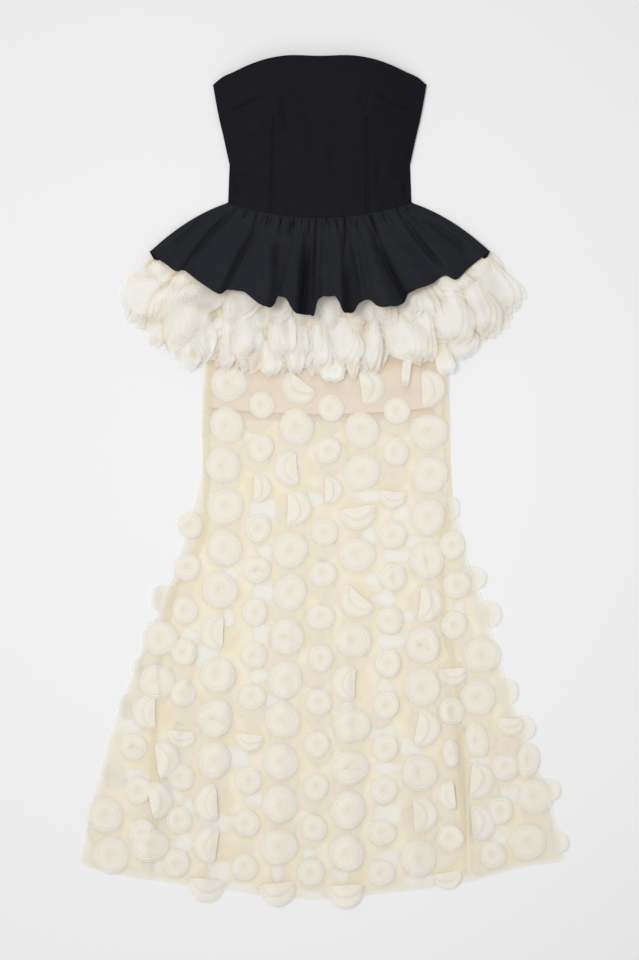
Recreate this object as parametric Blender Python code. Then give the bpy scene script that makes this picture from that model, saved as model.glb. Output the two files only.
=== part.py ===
"""A strapless gown laid flat on its back: a darted black bodice, a gathered black peplum, a ruffle of organza
petals, a sheer organza skirt covered in appliqued discs, and a short slip that shows through it.

The wearer's front faces up (+Z), the neckline points to +Y, and the hem to -Y. Left and right are the wearer's,
so the wearer's right side lies at -X. Lengths are in metres.
"""

import math
from collections import namedtuple

import bpy
import numpy as np
from mathutils import Vector
from mathutils.geometry import delaunay_2d_cdt

# Driving dimensions

SEAM_GAP = 0.0003
BODICE_WALL = 0.0018
PEPLUM_WALL = 0.0015
ORGANZA_WALL = 0.0012
SLIP_WALL = 0.0010
PETAL_WALL = 0.0020
PETAL_CLEARANCE = 0.0005
TIER_REACH = 0.0190

BODICE_CENTRE_X = -0.0030
NECKLINE_Y = 0.7438
BACK_NECKLINE_Y = 0.6720
UNDERARM_Y = 0.6940
WAIST_CENTRE_Y = 0.4611
WAIST_SIDE_Y = 0.4878
WAIST_HALF_WIDTH = 0.1610

PEPLUM_HEM_CENTRE_Y = 0.3065
PEPLUM_HEM_SIDE_Y = 0.4030
PEPLUM_HEM_HALF_WIDTH = 0.2975
PEPLUM_SIDE_BOW = 0.0100
GATHERS = 24
GATHER_DEPTH = 0.0024
BODICE_COLUMNS = 24

LARGE_DISC_RADIUS = 0.0320
SMALL_DISC_RADIUS = 0.0240
DISC_ROW_PITCH = 0.0736
DISC_RISE = 0.0026
FOLDED_DISC_RISE = 0.0042
DISC_RIM = 0.0030
CREASE_RISE = 0.0030

RUFFLE_BACK_TOP = 0.0038
SLIP_HALF_WIDTH = 0.1980
SLIP_FRONT_HEM_Y = 0.1300
SLIP_BACK_HEM_Y = 0.1160
SLIP_HEM_DIP = 0.0120
SLIP_RAMP = ((0.0800, 0.1000), (0.0, 1.0))

# Where one layer gives way to the next as they lie

ABOVE_SLIP_Y = 0.3000
DISCS_END_Y = (0.2150, 0.2450)
SKIRT_SIDE_X = (0.2160, 0.3100)
BACK_PETALS_COME_DOWN = (0.34, 0.52)

# How the bodice and the peplum stand up, from their side seams to the middle

SIDE_SEAM_HEIGHT = 0.0040
CROWN_WIDTH_POWER = 2.6
CROWN_TOP_POWER = 0.75
BACK_NARROWER = 0.0006
DART_WIDTH = 0.0050
PEPLUM_SIDE_HEIGHT = 0.0036
PEPLUM_WAIST_RISE = 0.0184
PEPLUM_HEM_RISE = 0.0200
PEPLUM_SIDE_RISE = 0.0040
PEPLUM_BACK_LIFT = 0.0400
PEPLUM_BACK_FLAP = 0.0170
FLAP_AT, FLAP_WIDTH = 0.955, 0.022
FLUTE_ROUND = 0.7
FLUTE_GROWTH = 1.3

# How a folded disc lies: how far its fold is from its middle, as a share of its radius, and how its top tapers

FOLD_SHIFT = 0.30
FOLD_TAPER = 0.80
WAIST_TURNING = 0.0006
BACK_TUCK = 0.0006

# The bodice front, down its side seam from the underarm (0) to the waist (1)
BodiceSection = namedtuple("BodiceSection", "down half_width crown")
BODICE_SECTIONS = (
    BodiceSection(0.00, 0.1868, 0.0230),
    BodiceSection(0.15, 0.1816, 0.0300),
    BodiceSection(0.30, 0.1755, 0.0310),
    BodiceSection(0.45, 0.1682, 0.0285),
    BodiceSection(0.60, 0.1615, 0.0250),
    BodiceSection(0.76, 0.1540, 0.0215),
    BodiceSection(0.86, 0.1490, 0.0195),
    BodiceSection(0.91, 0.1480, 0.0185),
    BodiceSection(0.96, 0.1530, 0.0180),
    BodiceSection(1.00, WAIST_HALF_WIDTH, 0.0180),
)

# The neckline, from the centre out to the underarm, as a share of the half width
NecklinePoint = namedtuple("NecklinePoint", "out y")
NECKLINE = (
    NecklinePoint(0.00, NECKLINE_Y),
    NecklinePoint(0.37, NECKLINE_Y - 0.0004),
    NecklinePoint(0.52, 0.7376),
    NecklinePoint(0.68, 0.7271),
    NecklinePoint(0.80, 0.7166),
    NecklinePoint(0.92, 0.7061),
    NecklinePoint(1.00, UNDERARM_Y),
)

# Each sewn dart of the front, from its wide end to its point, mirrored on the other side
Dart = namedtuple("Dart", "x0 y0 x1 y1")
DARTS = (
    Dart(0.0870, 0.4660, 0.0815, 0.6370),
    Dart(0.1560, 0.6480, 0.1010, 0.6730),
)
DART_DEPTH = 0.0012
BUST_X, BUST_Y, BUST_RISE, BUST_SPREAD = 0.0850, 0.6650, 0.0070, 0.0480

# The flutes of the peplum, as shares of its half width at the hem: where each rises out of a valley, where its
# crest is, how far the hem dips at the crest and lifts at the valley, and how high the crest stands
Flute = namedtuple("Flute", "valley crest dip lift rise")
FLUTES = (
    Flute(-1.000, -0.960, 0.000, 0.000, 0.004),
    Flute(-0.930, -0.855, 0.008, 0.000, 0.010),
    Flute(-0.800, -0.590, 0.012, 0.002, 0.016),
    Flute(-0.515, -0.310, 0.012, 0.004, 0.019),
    Flute(-0.225, -0.090, 0.0165, 0.014, 0.023),
    Flute(0.025, 0.160, 0.0145, 0.019, 0.021),
    Flute(0.270, 0.400, 0.0170, 0.007, 0.021),
    Flute(0.520, 0.610, 0.005, 0.000, 0.013),
    Flute(0.705, 0.790, 0.013, 0.001, 0.014),
    Flute(0.905, 0.960, 0.002, 0.000, 0.005),
)
FLUTES_END = 1.000

# The skirt's outline, down its two sides and along its hem
OutlinePoint = namedtuple("OutlinePoint", "x y")
SKIRT_RIGHT_SIDE = (
    OutlinePoint(-0.1600, 0.4560),
    OutlinePoint(-0.1900, 0.3800),
    OutlinePoint(-0.2050, 0.2800),
    OutlinePoint(-0.2075, 0.1916),
    OutlinePoint(-0.2095, 0.0726),
    OutlinePoint(-0.2130, 0.0026),
    OutlinePoint(-0.2336, -0.0674),
    OutlinePoint(-0.2511, -0.1374),
    OutlinePoint(-0.2791, -0.2074),
    OutlinePoint(-0.3089, -0.2774),
    OutlinePoint(-0.3491, -0.3824),
    OutlinePoint(-0.3725, -0.4524),
    OutlinePoint(-0.3925, -0.5224),
    OutlinePoint(-0.4100, -0.5924),
    OutlinePoint(-0.4190, -0.6449),
    OutlinePoint(-0.4215, -0.6690),
)
SKIRT_HEM = (
    OutlinePoint(-0.3701, -0.6851),
    OutlinePoint(-0.3001, -0.6974),
    OutlinePoint(-0.2301, -0.7079),
    OutlinePoint(-0.1776, -0.7131),
    OutlinePoint(-0.1076, -0.7240),
    OutlinePoint(-0.0376, -0.7300),
    OutlinePoint(0.0149, -0.7305),
    OutlinePoint(0.0849, -0.7236),
    OutlinePoint(0.1549, -0.7149),
    OutlinePoint(0.2074, -0.7079),
    OutlinePoint(0.2599, -0.6974),
    OutlinePoint(0.3124, -0.6851),
    OutlinePoint(0.3649, -0.6720),
)
SKIRT_LEFT_SIDE = (
    OutlinePoint(0.4200, -0.6641),
    OutlinePoint(0.4209, -0.6449),
    OutlinePoint(0.4086, -0.5924),
    OutlinePoint(0.3964, -0.5399),
    OutlinePoint(0.3719, -0.4874),
    OutlinePoint(0.3456, -0.4174),
    OutlinePoint(0.3229, -0.3474),
    OutlinePoint(0.3019, -0.2774),
    OutlinePoint(0.2826, -0.2074),
    OutlinePoint(0.2564, -0.1374),
    OutlinePoint(0.2406, -0.0674),
    OutlinePoint(0.2200, 0.0026),
    OutlinePoint(0.2126, 0.0726),
    OutlinePoint(0.2126, 0.1916),
    OutlinePoint(0.2080, 0.2800),
    OutlinePoint(0.1900, 0.3800),
    OutlinePoint(0.1560, 0.4560),
)

# The columns of discs on the skirt front. Each starts at (x, y), steps down by the row pitch and drifts sideways
# by `lean` a row. In `lie`, one letter for each disc says how it lies: o flat, c creased across, v creased upright,
# and l, r or d folded double with its round side to the left, to the right or down.
DiscColumn = namedtuple("DiscColumn", "radius x y lean lie")
DISC_COLUMNS = (
    DiscColumn(LARGE_DISC_RADIUS, -0.3789, -0.5780, 0.0105, "oo"),
    DiscColumn(SMALL_DISC_RADIUS, -0.3281, -0.4646, 0.0070, "coo"),
    DiscColumn(LARGE_DISC_RADIUS, -0.2826, -0.2739, -0.0060, "ovllr"),
    DiscColumn(SMALL_DISC_RADIUS, -0.2310, -0.0761, -0.0031, "oooocooov"),
    DiscColumn(LARGE_DISC_RADIUS, -0.1619, 0.1706, -0.0032, "ooooooloclvv"),
    DiscColumn(SMALL_DISC_RADIUS, -0.1041, 0.1339, -0.0027, "oorocooodoov"),
    DiscColumn(LARGE_DISC_RADIUS, -0.0400, 0.1671, -0.0032, "dolvoocoooood"),
    DiscColumn(SMALL_DISC_RADIUS, 0.0166, 0.2004, -0.0029, "oooroocooooo"),
    DiscColumn(LARGE_DISC_RADIUS, 0.0779, 0.1654, -0.0031, "roodocolovood"),
    DiscColumn(SMALL_DISC_RADIUS, 0.1321, 0.1234, -0.0025, "oodoooocoooo"),
    DiscColumn(LARGE_DISC_RADIUS, 0.1934, 0.1636, -0.0021, "roooorcorvrv"),
    DiscColumn(SMALL_DISC_RADIUS, 0.2336, -0.1111, -0.0012, "roodvvod"),
    DiscColumn(LARGE_DISC_RADIUS, 0.2826, -0.3036, -0.0035, "oovrv"),
    DiscColumn(SMALL_DISC_RADIUS, 0.3334, -0.4209, -0.0095, "doco"),
    DiscColumn(LARGE_DISC_RADIUS, 0.3700, -0.5520, -0.0040, "oo"),
)

# The skirt front's long soft folds, each opening out from a point at the hip to its width at the hem line
Fold = namedtuple("Fold", "x y hem_x half_width rise")
FOLDS_END_Y = -0.7450
SKIRT_FOLDS = (
    Fold(-0.1720, -0.0600, -0.3320, 0.0420, 0.0070),
    Fold(-0.1180, 0.0200, -0.2180, 0.0400, 0.0050),
    Fold(-0.0500, -0.1200, -0.0850, 0.0420, 0.0045),
    Fold(0.0380, -0.0600, 0.0520, 0.0440, 0.0050),
    Fold(0.1050, 0.0400, 0.1660, 0.0420, 0.0045),
    Fold(0.1640, -0.0400, 0.2680, 0.0380, 0.0085),
)

# Where the skirt back's underside bends as it comes off the table and over the back ruffle and peplum
Bend = namedtuple("Bend", "y height")
BENDS = (
    Bend(-1.0000, 0.0000),
    Bend(0.1480, 0.0000),
    Bend(0.1700, RUFFLE_BACK_TOP + SEAM_GAP),
    Bend(0.4200, RUFFLE_BACK_TOP + SEAM_GAP),
    Bend(0.4500, PEPLUM_WALL + SEAM_GAP),
    Bend(1.0000, PEPLUM_WALL + SEAM_GAP),
)

# The tiers of petals. Each fans out from a seam (half an ellipse, given by its end and its middle) to the petals'
# tips (an ellipse that runs on past its sides to the half angle), with petals that rise over what they lie on.
Tier = namedtuple("Tier", "seam_x seam_y seam_drop tip_x tip_y tip_radius half_angle petals rise scallop")
LOWER_TIER = Tier(0.2180, 0.3820, 0.0450, 0.3540, 0.3100, 0.1310, 113.0, 15, 0.0160, 0.0130)
UPPER_TIER = Tier(0.1880, 0.3900, 0.0450, 0.3230, 0.3290, 0.1060, 104.0, 12, 0.0150, 0.0120)
BACK_TIER = Tier(0.2250, 0.3960, 0.0300, 0.3500, 0.3120, 0.1300, 108.0, 14, 0.0015, 0.0110)


def blend(low, high, value):
    """0 below low, 1 above high, and a smooth rise between them."""
    t = np.clip((np.asarray(value, float) - low) / (high - low), 0.0, 1.0)
    return t * t * (3.0 - 2.0 * t)


def along(table, key, column, value):
    """The table's column at a value of its key, on a smooth curve through the rows."""
    keys = np.array([getattr(row, key) for row in table])
    values = np.array([getattr(row, column) for row in table])
    slopes = np.gradient(values, keys)
    at = np.clip(np.asarray(value, float), keys[0], keys[-1])
    i = np.clip(np.searchsorted(keys, at, side="right") - 1, 0, len(keys) - 2)
    span = keys[i + 1] - keys[i]
    t = (at - keys[i]) / span
    return (
        values[i] * (2 * t**3 - 3 * t**2 + 1)
        + slopes[i] * span * (t**3 - 2 * t**2 + t)
        + values[i + 1] * (3 * t**2 - 2 * t**3)
        + slopes[i + 1] * span * (t**3 - t**2)
    )


# Materials

def cloth(name, colour, roughness):
    material = bpy.data.materials.new(name)
    material.use_nodes = True
    shader = material.node_tree.nodes["Principled BSDF"]
    shader.inputs["Base Color"].default_value = (*colour, 1.0)
    shader.inputs["Roughness"].default_value = roughness
    shader.inputs["Metallic"].default_value = 0.0
    return material


# Closed walls

def add_object(name, points, faces, material):
    mesh = bpy.data.meshes.new(name)
    mesh.from_pydata([tuple(p) for p in points], [], faces)
    mesh.update()
    mesh.shade_smooth()
    mesh.set_sharp_from_angle(angle=math.radians(35))
    mesh.materials.append(material)
    made = bpy.data.objects.new(name, mesh)
    bpy.context.scene.collection.objects.link(made)
    return made


def wall_between(name, outer, inner, faces, rim, material):
    """One closed wall: a sheet seen from outside, the same sheet further in, and the edge between them."""
    n = len(outer)
    closed = [tuple(f) for f in faces]
    closed += [tuple(i + n for i in reversed(f)) for f in faces]
    for a, b in zip(rim, rim[1:] + rim[:1]):
        closed.append((a, a + n, b + n, b))
    return add_object(name, list(outer) + list(inner), closed, material)


def grid_faces(columns, rows):
    """Faces and rim of a sheet whose points run row by row, from left to right and then downwards."""

    def at(c, r):
        return r * (columns + 1) + c

    faces = [
        (at(c, r), at(c, r + 1), at(c + 1, r + 1), at(c + 1, r))
        for r in range(rows)
        for c in range(columns)
    ]
    rim = [at(0, r) for r in range(rows)]
    rim += [at(c, rows) for c in range(columns)]
    rim += [at(columns, r) for r in range(rows, 0, -1)]
    rim += [at(c, 0) for c in range(columns, 0, -1)]
    return faces, rim


def grid_wall(name, outer, inner, columns, rows, material):
    """A wall over a grid. outer and inner take arrays of u and v from 0 to 1 and give x, y and z."""
    v, u = np.meshgrid(np.linspace(0, 1, rows + 1), np.linspace(0, 1, columns + 1), indexing="ij")
    faces, rim = grid_faces(columns, rows)
    sheets = [np.stack(f(u.ravel(), v.ravel()), axis=1) for f in (outer, inner)]
    return wall_between(name, *sheets, faces, rim, material)


def triangles_over(points, lines, polygons):
    """Triangles that fill the union of the polygons and keep the points and the lines, as (points, faces)."""
    coords = [Vector(p) for p in points]
    edges, faces = [], []
    for line in lines:
        edges.append((len(coords), len(coords) + 1))
        coords += [Vector(p) for p in line]
    for polygon in polygons:
        faces.append(list(range(len(coords), len(coords) + len(polygon))))
        coords += [Vector(p) for p in polygon]
    made = delaunay_2d_cdt(coords, edges, faces, 0, 1e-6, False)
    flat = np.array([tuple(p) for p in made[0]])
    triangles = np.array([tuple(f) for f in made[2]])
    a, b, c = (flat[triangles[:, k]] for k in range(3))
    middles = (a + b + c) / 3
    area = (b[:, 0] - a[:, 0]) * (c[:, 1] - a[:, 1]) - (b[:, 1] - a[:, 1]) * (c[:, 0] - a[:, 0])
    kept = np.any([inside(middles, polygon) for polygon in polygons], axis=0) & (np.abs(area) > 1e-12)
    triangles = np.where(area[:, None] > 0, triangles, triangles[:, ::-1])[kept]
    used, index = np.unique(triangles, return_inverse=True)
    return flat[used], [tuple(int(i) for i in f) for f in index.reshape(-1, 3)]


def rim_of(faces):
    """The one loop of edges that only one triangle uses, in order, anticlockwise."""
    edges = {(a, b) for f in faces for a, b in zip(f, f[1:] + f[:1])}
    after = {a: b for a, b in edges if (b, a) not in edges}
    start = next(iter(sorted(after)))
    loop = [start]
    while after[loop[-1]] != start:
        loop.append(after[loop[-1]])
    if len(loop) != len(after):
        raise ValueError("the outline has a hole or touches itself")
    return loop


def relief_wall(name, points, lines, polygons, top, under, material):
    """A wall over a plan, with relief on top and a plainer underside. Both keep the lines that the wall bends at."""
    flat, faces = triangles_over(points, lines, polygons)
    rim = rim_of(faces)
    plain_flat, plain_faces = triangles_over([], lines, [flat[rim]])
    high = np.column_stack([flat, top(flat[:, 0], flat[:, 1])])
    low = np.column_stack([plain_flat, under(plain_flat[:, 0], plain_flat[:, 1])])
    n = len(high)
    closed = list(faces) + [tuple(i + n for i in reversed(f)) for f in plain_faces]
    below = {i: n + int(np.hypot(*(plain_flat - flat[i]).T).argmin()) for i in rim}
    for a, b in zip(rim, rim[1:] + rim[:1]):
        closed.append((a, below[a], below[b], b))
    return add_object(name, np.vstack([high, low]), closed, material)


def inside(points, polygon, margin=0.0):
    """Which points lie inside a polygon, and at least the margin from its edge."""
    polygon = np.asarray(polygon)
    nxt = np.roll(polygon, -1, axis=0)
    x, y = points[:, 0][:, None], points[:, 1][:, None]
    crosses = (polygon[:, 1] > y) != (nxt[:, 1] > y)
    with np.errstate(divide="ignore", invalid="ignore"):
        at = polygon[:, 0] + (y - polygon[:, 1]) * (nxt[:, 0] - polygon[:, 0]) / (nxt[:, 1] - polygon[:, 1])
    within = (crosses & (x < at)).sum(axis=1) % 2 == 1
    edge = nxt - polygon
    t = np.clip(
        ((x - polygon[:, 0]) * edge[:, 0] + (y - polygon[:, 1]) * edge[:, 1]) / (edge**2).sum(axis=1), 0, 1
    )
    distance = np.hypot(x - polygon[:, 0] - t * edge[:, 0], y - polygon[:, 1] - t * edge[:, 1]).min(axis=1)
    return within & (distance >= margin)


# How the layers lie on each other

def lying_height(y):
    """Height of the skirt back's underside above the table."""
    return np.interp(y, [b.y for b in BENDS], [b.height for b in BENDS])


def pile_height(x, y):
    """Height of the top of the skirt, or of the back ruffle beyond the skirt's sides."""
    skirt_top = lying_height(ABOVE_SLIP_Y) + 2 * (ORGANZA_WALL + SLIP_WALL) + 3 * SEAM_GAP
    over_discs = FOLDED_DISC_RISE * (1 - blend(*DISCS_END_Y, y))
    beside = RUFFLE_BACK_TOP + SEAM_GAP
    return beside + (skirt_top + over_discs - beside) * (1 - blend(*SKIRT_SIDE_X, np.abs(x)))


def waist_y(u):
    return WAIST_CENTRE_Y + (WAIST_SIDE_Y - WAIST_CENTRE_Y) * u**2


def rounded(u):
    """1 in the middle and 0 at the side seams."""
    return np.clip(1 - np.abs(u) ** CROWN_WIDTH_POWER, 0, 1) ** CROWN_TOP_POWER


def crown_height(u, crown):
    """A bodice section across: low at the side seams and full in the middle."""
    return SIDE_SEAM_HEIGHT + crown * rounded(u)


# Bodice

def bodice_front_outer(u, v):
    side = 2 * u - 1
    half_width = along(BODICE_SECTIONS, "down", "half_width", v)
    x = BODICE_CENTRE_X + side * half_width
    neck = along(NECKLINE, "out", "y", np.abs(side))
    y = neck * (1 - v) + waist_y(side) * v
    z = crown_height(side, along(BODICE_SECTIONS, "down", "crown", v))
    from_centre = np.abs(x - BODICE_CENTRE_X)
    apex = np.hypot(from_centre - BUST_X, y - BUST_Y)
    z = z + BUST_RISE * np.exp(-((apex / BUST_SPREAD) ** 2))
    for dart in DARTS:
        run = np.array([dart.x1 - dart.x0, dart.y1 - dart.y0])
        t = ((from_centre - dart.x0) * run[0] + (y - dart.y0) * run[1]) / (run @ run)
        away = np.hypot(
            from_centre - dart.x0 - np.clip(t, 0, 1) * run[0], y - dart.y0 - np.clip(t, 0, 1) * run[1]
        )
        z = z - DART_DEPTH * np.exp(-((away / DART_WIDTH) ** 2)) * (1 - blend(0.8, 1.0, t))
    return x, y, z


def bodice_front_inner(u, v):
    x, y, z = bodice_front_outer(u, v)
    return x, y, z - BODICE_WALL


def bodice_back(side):
    """Outer and inner sheets of one half of the back, from the zip to the side seam."""

    def outline(u, v):
        half_width = along(BODICE_SECTIONS, "down", "half_width", v) - BACK_NARROWER
        share = u if side > 0 else 1 - u
        x = BODICE_CENTRE_X + side * (0.5 * SEAM_GAP + share * (half_width - 0.5 * SEAM_GAP))
        top = BACK_NECKLINE_Y + (UNDERARM_Y - BACK_NECKLINE_Y) * share**2
        return x, top * (1 - v) + waist_y(share) * v

    def outer(u, v):
        x, y = outline(u, v)
        return x, y, np.full_like(x, BODICE_WALL)

    def inner(u, v):
        x, y = outline(u, v)
        return x, y, np.zeros_like(x)

    return outer, inner


def make_bodice(black, tape):
    grid_wall("bodice_front", bodice_front_outer, bodice_front_inner, BODICE_COLUMNS, 14, black)
    for name, side in (("bodice_back_left", 1), ("bodice_back_right", -1)):
        grid_wall(name, *bodice_back(side), BODICE_COLUMNS // 2, 3, black)
    make_zip_tape(tape)


def make_zip_tape(tape):
    """The closed zip's tape, inside, under the two edges of the back."""
    half_width, thickness, bottom = 0.0120, 0.0009, WAIST_CENTRE_Y + 0.004
    top = BACK_NECKLINE_Y - 0.003

    def sheet(z):
        def at(u, v):
            x = BODICE_CENTRE_X + (2 * u - 1) * half_width
            return x, top + (bottom - top) * v, np.full_like(x, z)

        return at

    low = BODICE_WALL + SEAM_GAP
    grid_wall("zip_tape", sheet(low + thickness), sheet(low), 2, 6, tape)


# Peplum

def flute_shape(u):
    """Of each flute at u from -1 to 1: its height from 0 to 1, its rise, and how far the hem moves down."""
    edges = [f.valley for f in FLUTES] + [FLUTES_END]
    i = np.clip(np.searchsorted(edges, u, side="right") - 1, 0, len(FLUTES) - 1)

    def pick(column):
        return np.array([getattr(f, column) for f in FLUTES])[i]

    start, end, crest = np.array(edges)[i], np.array(edges)[i + 1], pick("crest")
    side = np.where(u < crest, (crest - u) / (crest - start), (u - crest) / (end - crest))
    height = (0.5 + 0.5 * np.cos(np.pi * np.clip(side, 0, 1))) ** FLUTE_ROUND
    lifts = np.array([f.lift for f in FLUTES] + [0.0])
    lift = np.where(u < crest, lifts[i], lifts[i + 1])
    return height, pick("rise"), pick("dip") * height - lift * (1 - height)


def peplum_base(u, v):
    """Height of the peplum's valleys above the table."""
    middle = rounded(u) * (PEPLUM_WAIST_RISE + PEPLUM_HEM_RISE * blend(0.0, 0.9, v))
    return PEPLUM_SIDE_HEIGHT + middle + PEPLUM_SIDE_RISE * blend(0.1, 0.9, v)


def peplum_plan(u, v, hem_shift=0.0):
    half_width = WAIST_HALF_WIDTH + (PEPLUM_HEM_HALF_WIDTH - WAIST_HALF_WIDTH) * v
    x = BODICE_CENTRE_X + u * half_width
    hem = PEPLUM_HEM_CENTRE_Y + (PEPLUM_HEM_SIDE_Y - PEPLUM_HEM_CENTRE_Y) * u**2 - hem_shift
    bow = PEPLUM_SIDE_BOW * 4 * v * (1 - v) * u**4
    return x, (waist_y(u) - SEAM_GAP) * (1 - v) + hem * v + bow


def gather_shape(u, v):
    """Small gathers that run out of the waist seam and die away into the flutes."""
    phase = GATHERS * np.pi * (u + 0.012 * np.sin(9 * u) + 0.008 * np.sin(23 * u))
    length = 0.30 + 0.14 * np.sin(17 * u)
    fade = blend(0.0, 0.08, v) * np.exp(-((v / length) ** 2)) * (1 - np.abs(u) ** 6)
    return GATHER_DEPTH * (0.5 + 0.5 * np.cos(phase)) * fade


def peplum_front_outer(u, v):
    side = 2 * u - 1
    height, rise, dip = flute_shape(side)
    x, y = peplum_plan(side, v, dip)
    z = peplum_base(side, v) + height * rise * v**FLUTE_GROWTH + gather_shape(side, v)
    return x, y, z


def peplum_front_inner(u, v):
    x, y, z = peplum_front_outer(u, v)
    return x, y, z - PEPLUM_WALL


def peplum_back(side):
    """Outer and inner sheets of one half of the back peplum, which lies under everything."""

    def outline(u, v):
        share = u if side > 0 else 1 - u
        x, y = peplum_plan(share * side, v)
        x = np.where(share == 0, BODICE_CENTRE_X + side * 0.5 * SEAM_GAP, x)
        hem_lift = PEPLUM_BACK_LIFT * (1 - share**2) * v
        flap = PEPLUM_BACK_FLAP * np.exp(-(((share - FLAP_AT) / FLAP_WIDTH) ** 2)) * v
        return x, y + hem_lift - flap

    def outer(u, v):
        x, y = outline(u, v)
        return x, y, np.full_like(x, PEPLUM_WALL)

    def inner(u, v):
        x, y = outline(u, v)
        return x, y, np.zeros_like(x)

    return outer, inner


def make_peplum(black):
    grid_wall("peplum_front", peplum_front_outer, peplum_front_inner, 3 * BODICE_COLUMNS, 7, black)
    for name, side in (("peplum_back_left", 1), ("peplum_back_right", -1)):
        grid_wall(name, *peplum_back(side), BODICE_COLUMNS // 2, 2, black)


# Skirt

def skirt_outline(tuck=0.0):
    """The skirt's edge, anticlockwise from its top at the wearer's right, with its sides moved in by the tuck."""
    sides = [*SKIRT_RIGHT_SIDE, *SKIRT_HEM, *SKIRT_LEFT_SIDE]
    top = [(x, y) for x, y in waist_line() if abs(x - BODICE_CENTRE_X) < 0.93 * WAIST_HALF_WIDTH]
    return np.array([(p.x - tuck * np.sign(p.x), p.y) for p in sides] + top)


def waist_line():
    """Points just below the waist seam, from the wearer's left to right, in line with the bodice's own."""
    shares = np.linspace(1, -1, BODICE_COLUMNS + 1)
    return [(BODICE_CENTRE_X + u * WAIST_HALF_WIDTH, waist_y(u) - WAIST_TURNING) for u in shares]


def bend_lines():
    """Lines across the skirt where the layers bend."""
    return [((-0.5, bend.y), (0.5, bend.y)) for bend in BENDS[1:-1]]


def fold_lines():
    """The crest and the two feet of each fold."""
    found = []
    for fold in SKIRT_FOLDS:
        for side in (-1, 0, 1):
            found.append(((fold.x, fold.y), (fold.hem_x + side * fold.half_width, FOLDS_END_Y)))
    return found


def fold_height(x, y):
    """Height of the skirt front's folds: each is a long flat-sided ridge that widens and rises to the hem."""
    height = np.zeros_like(x)
    for fold in SKIRT_FOLDS:
        t = np.clip((fold.y - y) / (fold.y - FOLDS_END_Y), 1e-9, 1)
        away = np.abs(x - fold.x - (fold.hem_x - fold.x) * t) / (fold.half_width * t)
        height = height + fold.rise * t * np.clip(1 - away, 0, 1) * (y < fold.y)
    return height


def skirt_front_under(x, y):
    """Underside of the skirt front: on its back below the slip's hem, and on the slip above it."""
    slip = 2 * (SLIP_WALL + SEAM_GAP)
    return lying_height(y) + ORGANZA_WALL + SEAM_GAP + slip * np.interp(y, *SLIP_RAMP) + fold_height(x, y)


def circle(x, y, radius, sides, start=0.0, turn=2 * math.pi):
    steps = sides if turn >= 2 * math.pi else sides + 1
    angles = [start + turn * k / sides for k in range(steps)]
    return np.array([(x + radius * math.cos(a), y + radius * math.sin(a)) for a in angles])


Disc = namedtuple("Disc", "x y radius lie")


def skirt_discs():
    """Every disc of the front, column by column, each moved a little from its place as by hand."""
    found = []
    for k, column in enumerate(DISC_COLUMNS):
        for row, lie in enumerate(column.lie):
            x = column.x + column.lean * row + 0.0022 * math.sin(2.7 * row + 1.9 * k)
            y = column.y - DISC_ROW_PITCH * row + 0.0016 * math.sin(3.9 * row + 2.3 * k)
            found.append(Disc(x, y, column.radius, lie))
    return found


FOLD_START = {"l": math.pi / 2, "r": -math.pi / 2, "d": math.pi}


def disc_rings(disc):
    """Polygons of one disc: where it meets the cloth, and the edge of its top."""
    large = disc.radius > 0.028
    if disc.lie in FOLD_START:
        sides, start = (6 if large else 5), FOLD_START[disc.lie]
        shift = FOLD_SHIFT * disc.radius
        x = disc.x - shift * math.cos(start + math.pi / 2)
        y = disc.y - shift * math.sin(start + math.pi / 2)
        outer = circle(x, y, disc.radius, sides, start, math.pi)
        centre = outer.mean(axis=0)
        return [outer, centre + (outer - centre) * FOLD_TAPER]
    sides = 10 if large else 8
    turn = 0.3 * math.sin(40 * disc.x + 70 * disc.y)
    return [circle(disc.x, disc.y, r, sides, turn) for r in (disc.radius, disc.radius - DISC_RIM)]


def crease_ends(disc):
    if disc.lie not in "cv":
        return []
    dx, dy = (0.5 * disc.radius, 0.0) if disc.lie == "c" else (0.0, 0.5 * disc.radius)
    return [(disc.x - dx, disc.y - dy), (disc.x + dx, disc.y + dy)]


def disc_relief(discs, x, y):
    """Height of the discs over the cloth."""
    relief = np.zeros_like(x)
    points = np.column_stack([x, y])
    for disc in discs:
        near = np.hypot(x - disc.x, y - disc.y) < 1.5 * disc.radius
        if not near.any():
            continue
        top = disc_rings(disc)[1]
        rise = FOLDED_DISC_RISE if disc.lie in FOLD_START else DISC_RISE
        grown = top.mean(axis=0) + (top - top.mean(axis=0)) * 1.01
        local = inside(points[near], grown) * rise
        for end in crease_ends(disc):
            local = local + CREASE_RISE * (np.hypot(x[near] - end[0], y[near] - end[1]) < 1e-4)
        relief[near] = np.maximum(relief[near], local)
    return relief


def make_skirt(organza):
    outline, discs = skirt_outline(), skirt_discs()
    rings = [ring for disc in discs for ring in disc_rings(disc)]
    creases = [end for disc in discs for end in crease_ends(disc)]
    ramp_lines = [((-0.5, y), (0.5, y)) for y in SLIP_RAMP[0]]

    def top(x, y):
        return skirt_front_under(x, y) + ORGANZA_WALL + disc_relief(discs, x, y)

    lines = bend_lines() + ramp_lines + fold_lines()
    relief_wall("skirt_front", creases, lines, [outline] + rings, top, skirt_front_under, organza)
    for name, side in (("skirt_back_left", 1), ("skirt_back_right", -1)):
        outline = half_outline(skirt_outline(BACK_TUCK), side, BODICE_CENTRE_X)
        flat_layer(name, outline, 0.0, ORGANZA_WALL, organza)


def flat_layer(name, outline, level, thickness, material):
    """A plain layer of cloth at one level of the pile, which bends where the skirt back does."""

    def under(x, y):
        return lying_height(y) + level

    def top(x, y):
        return under(x, y) + thickness

    return relief_wall(name, [], bend_lines(), [outline], top, under, material)


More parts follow.
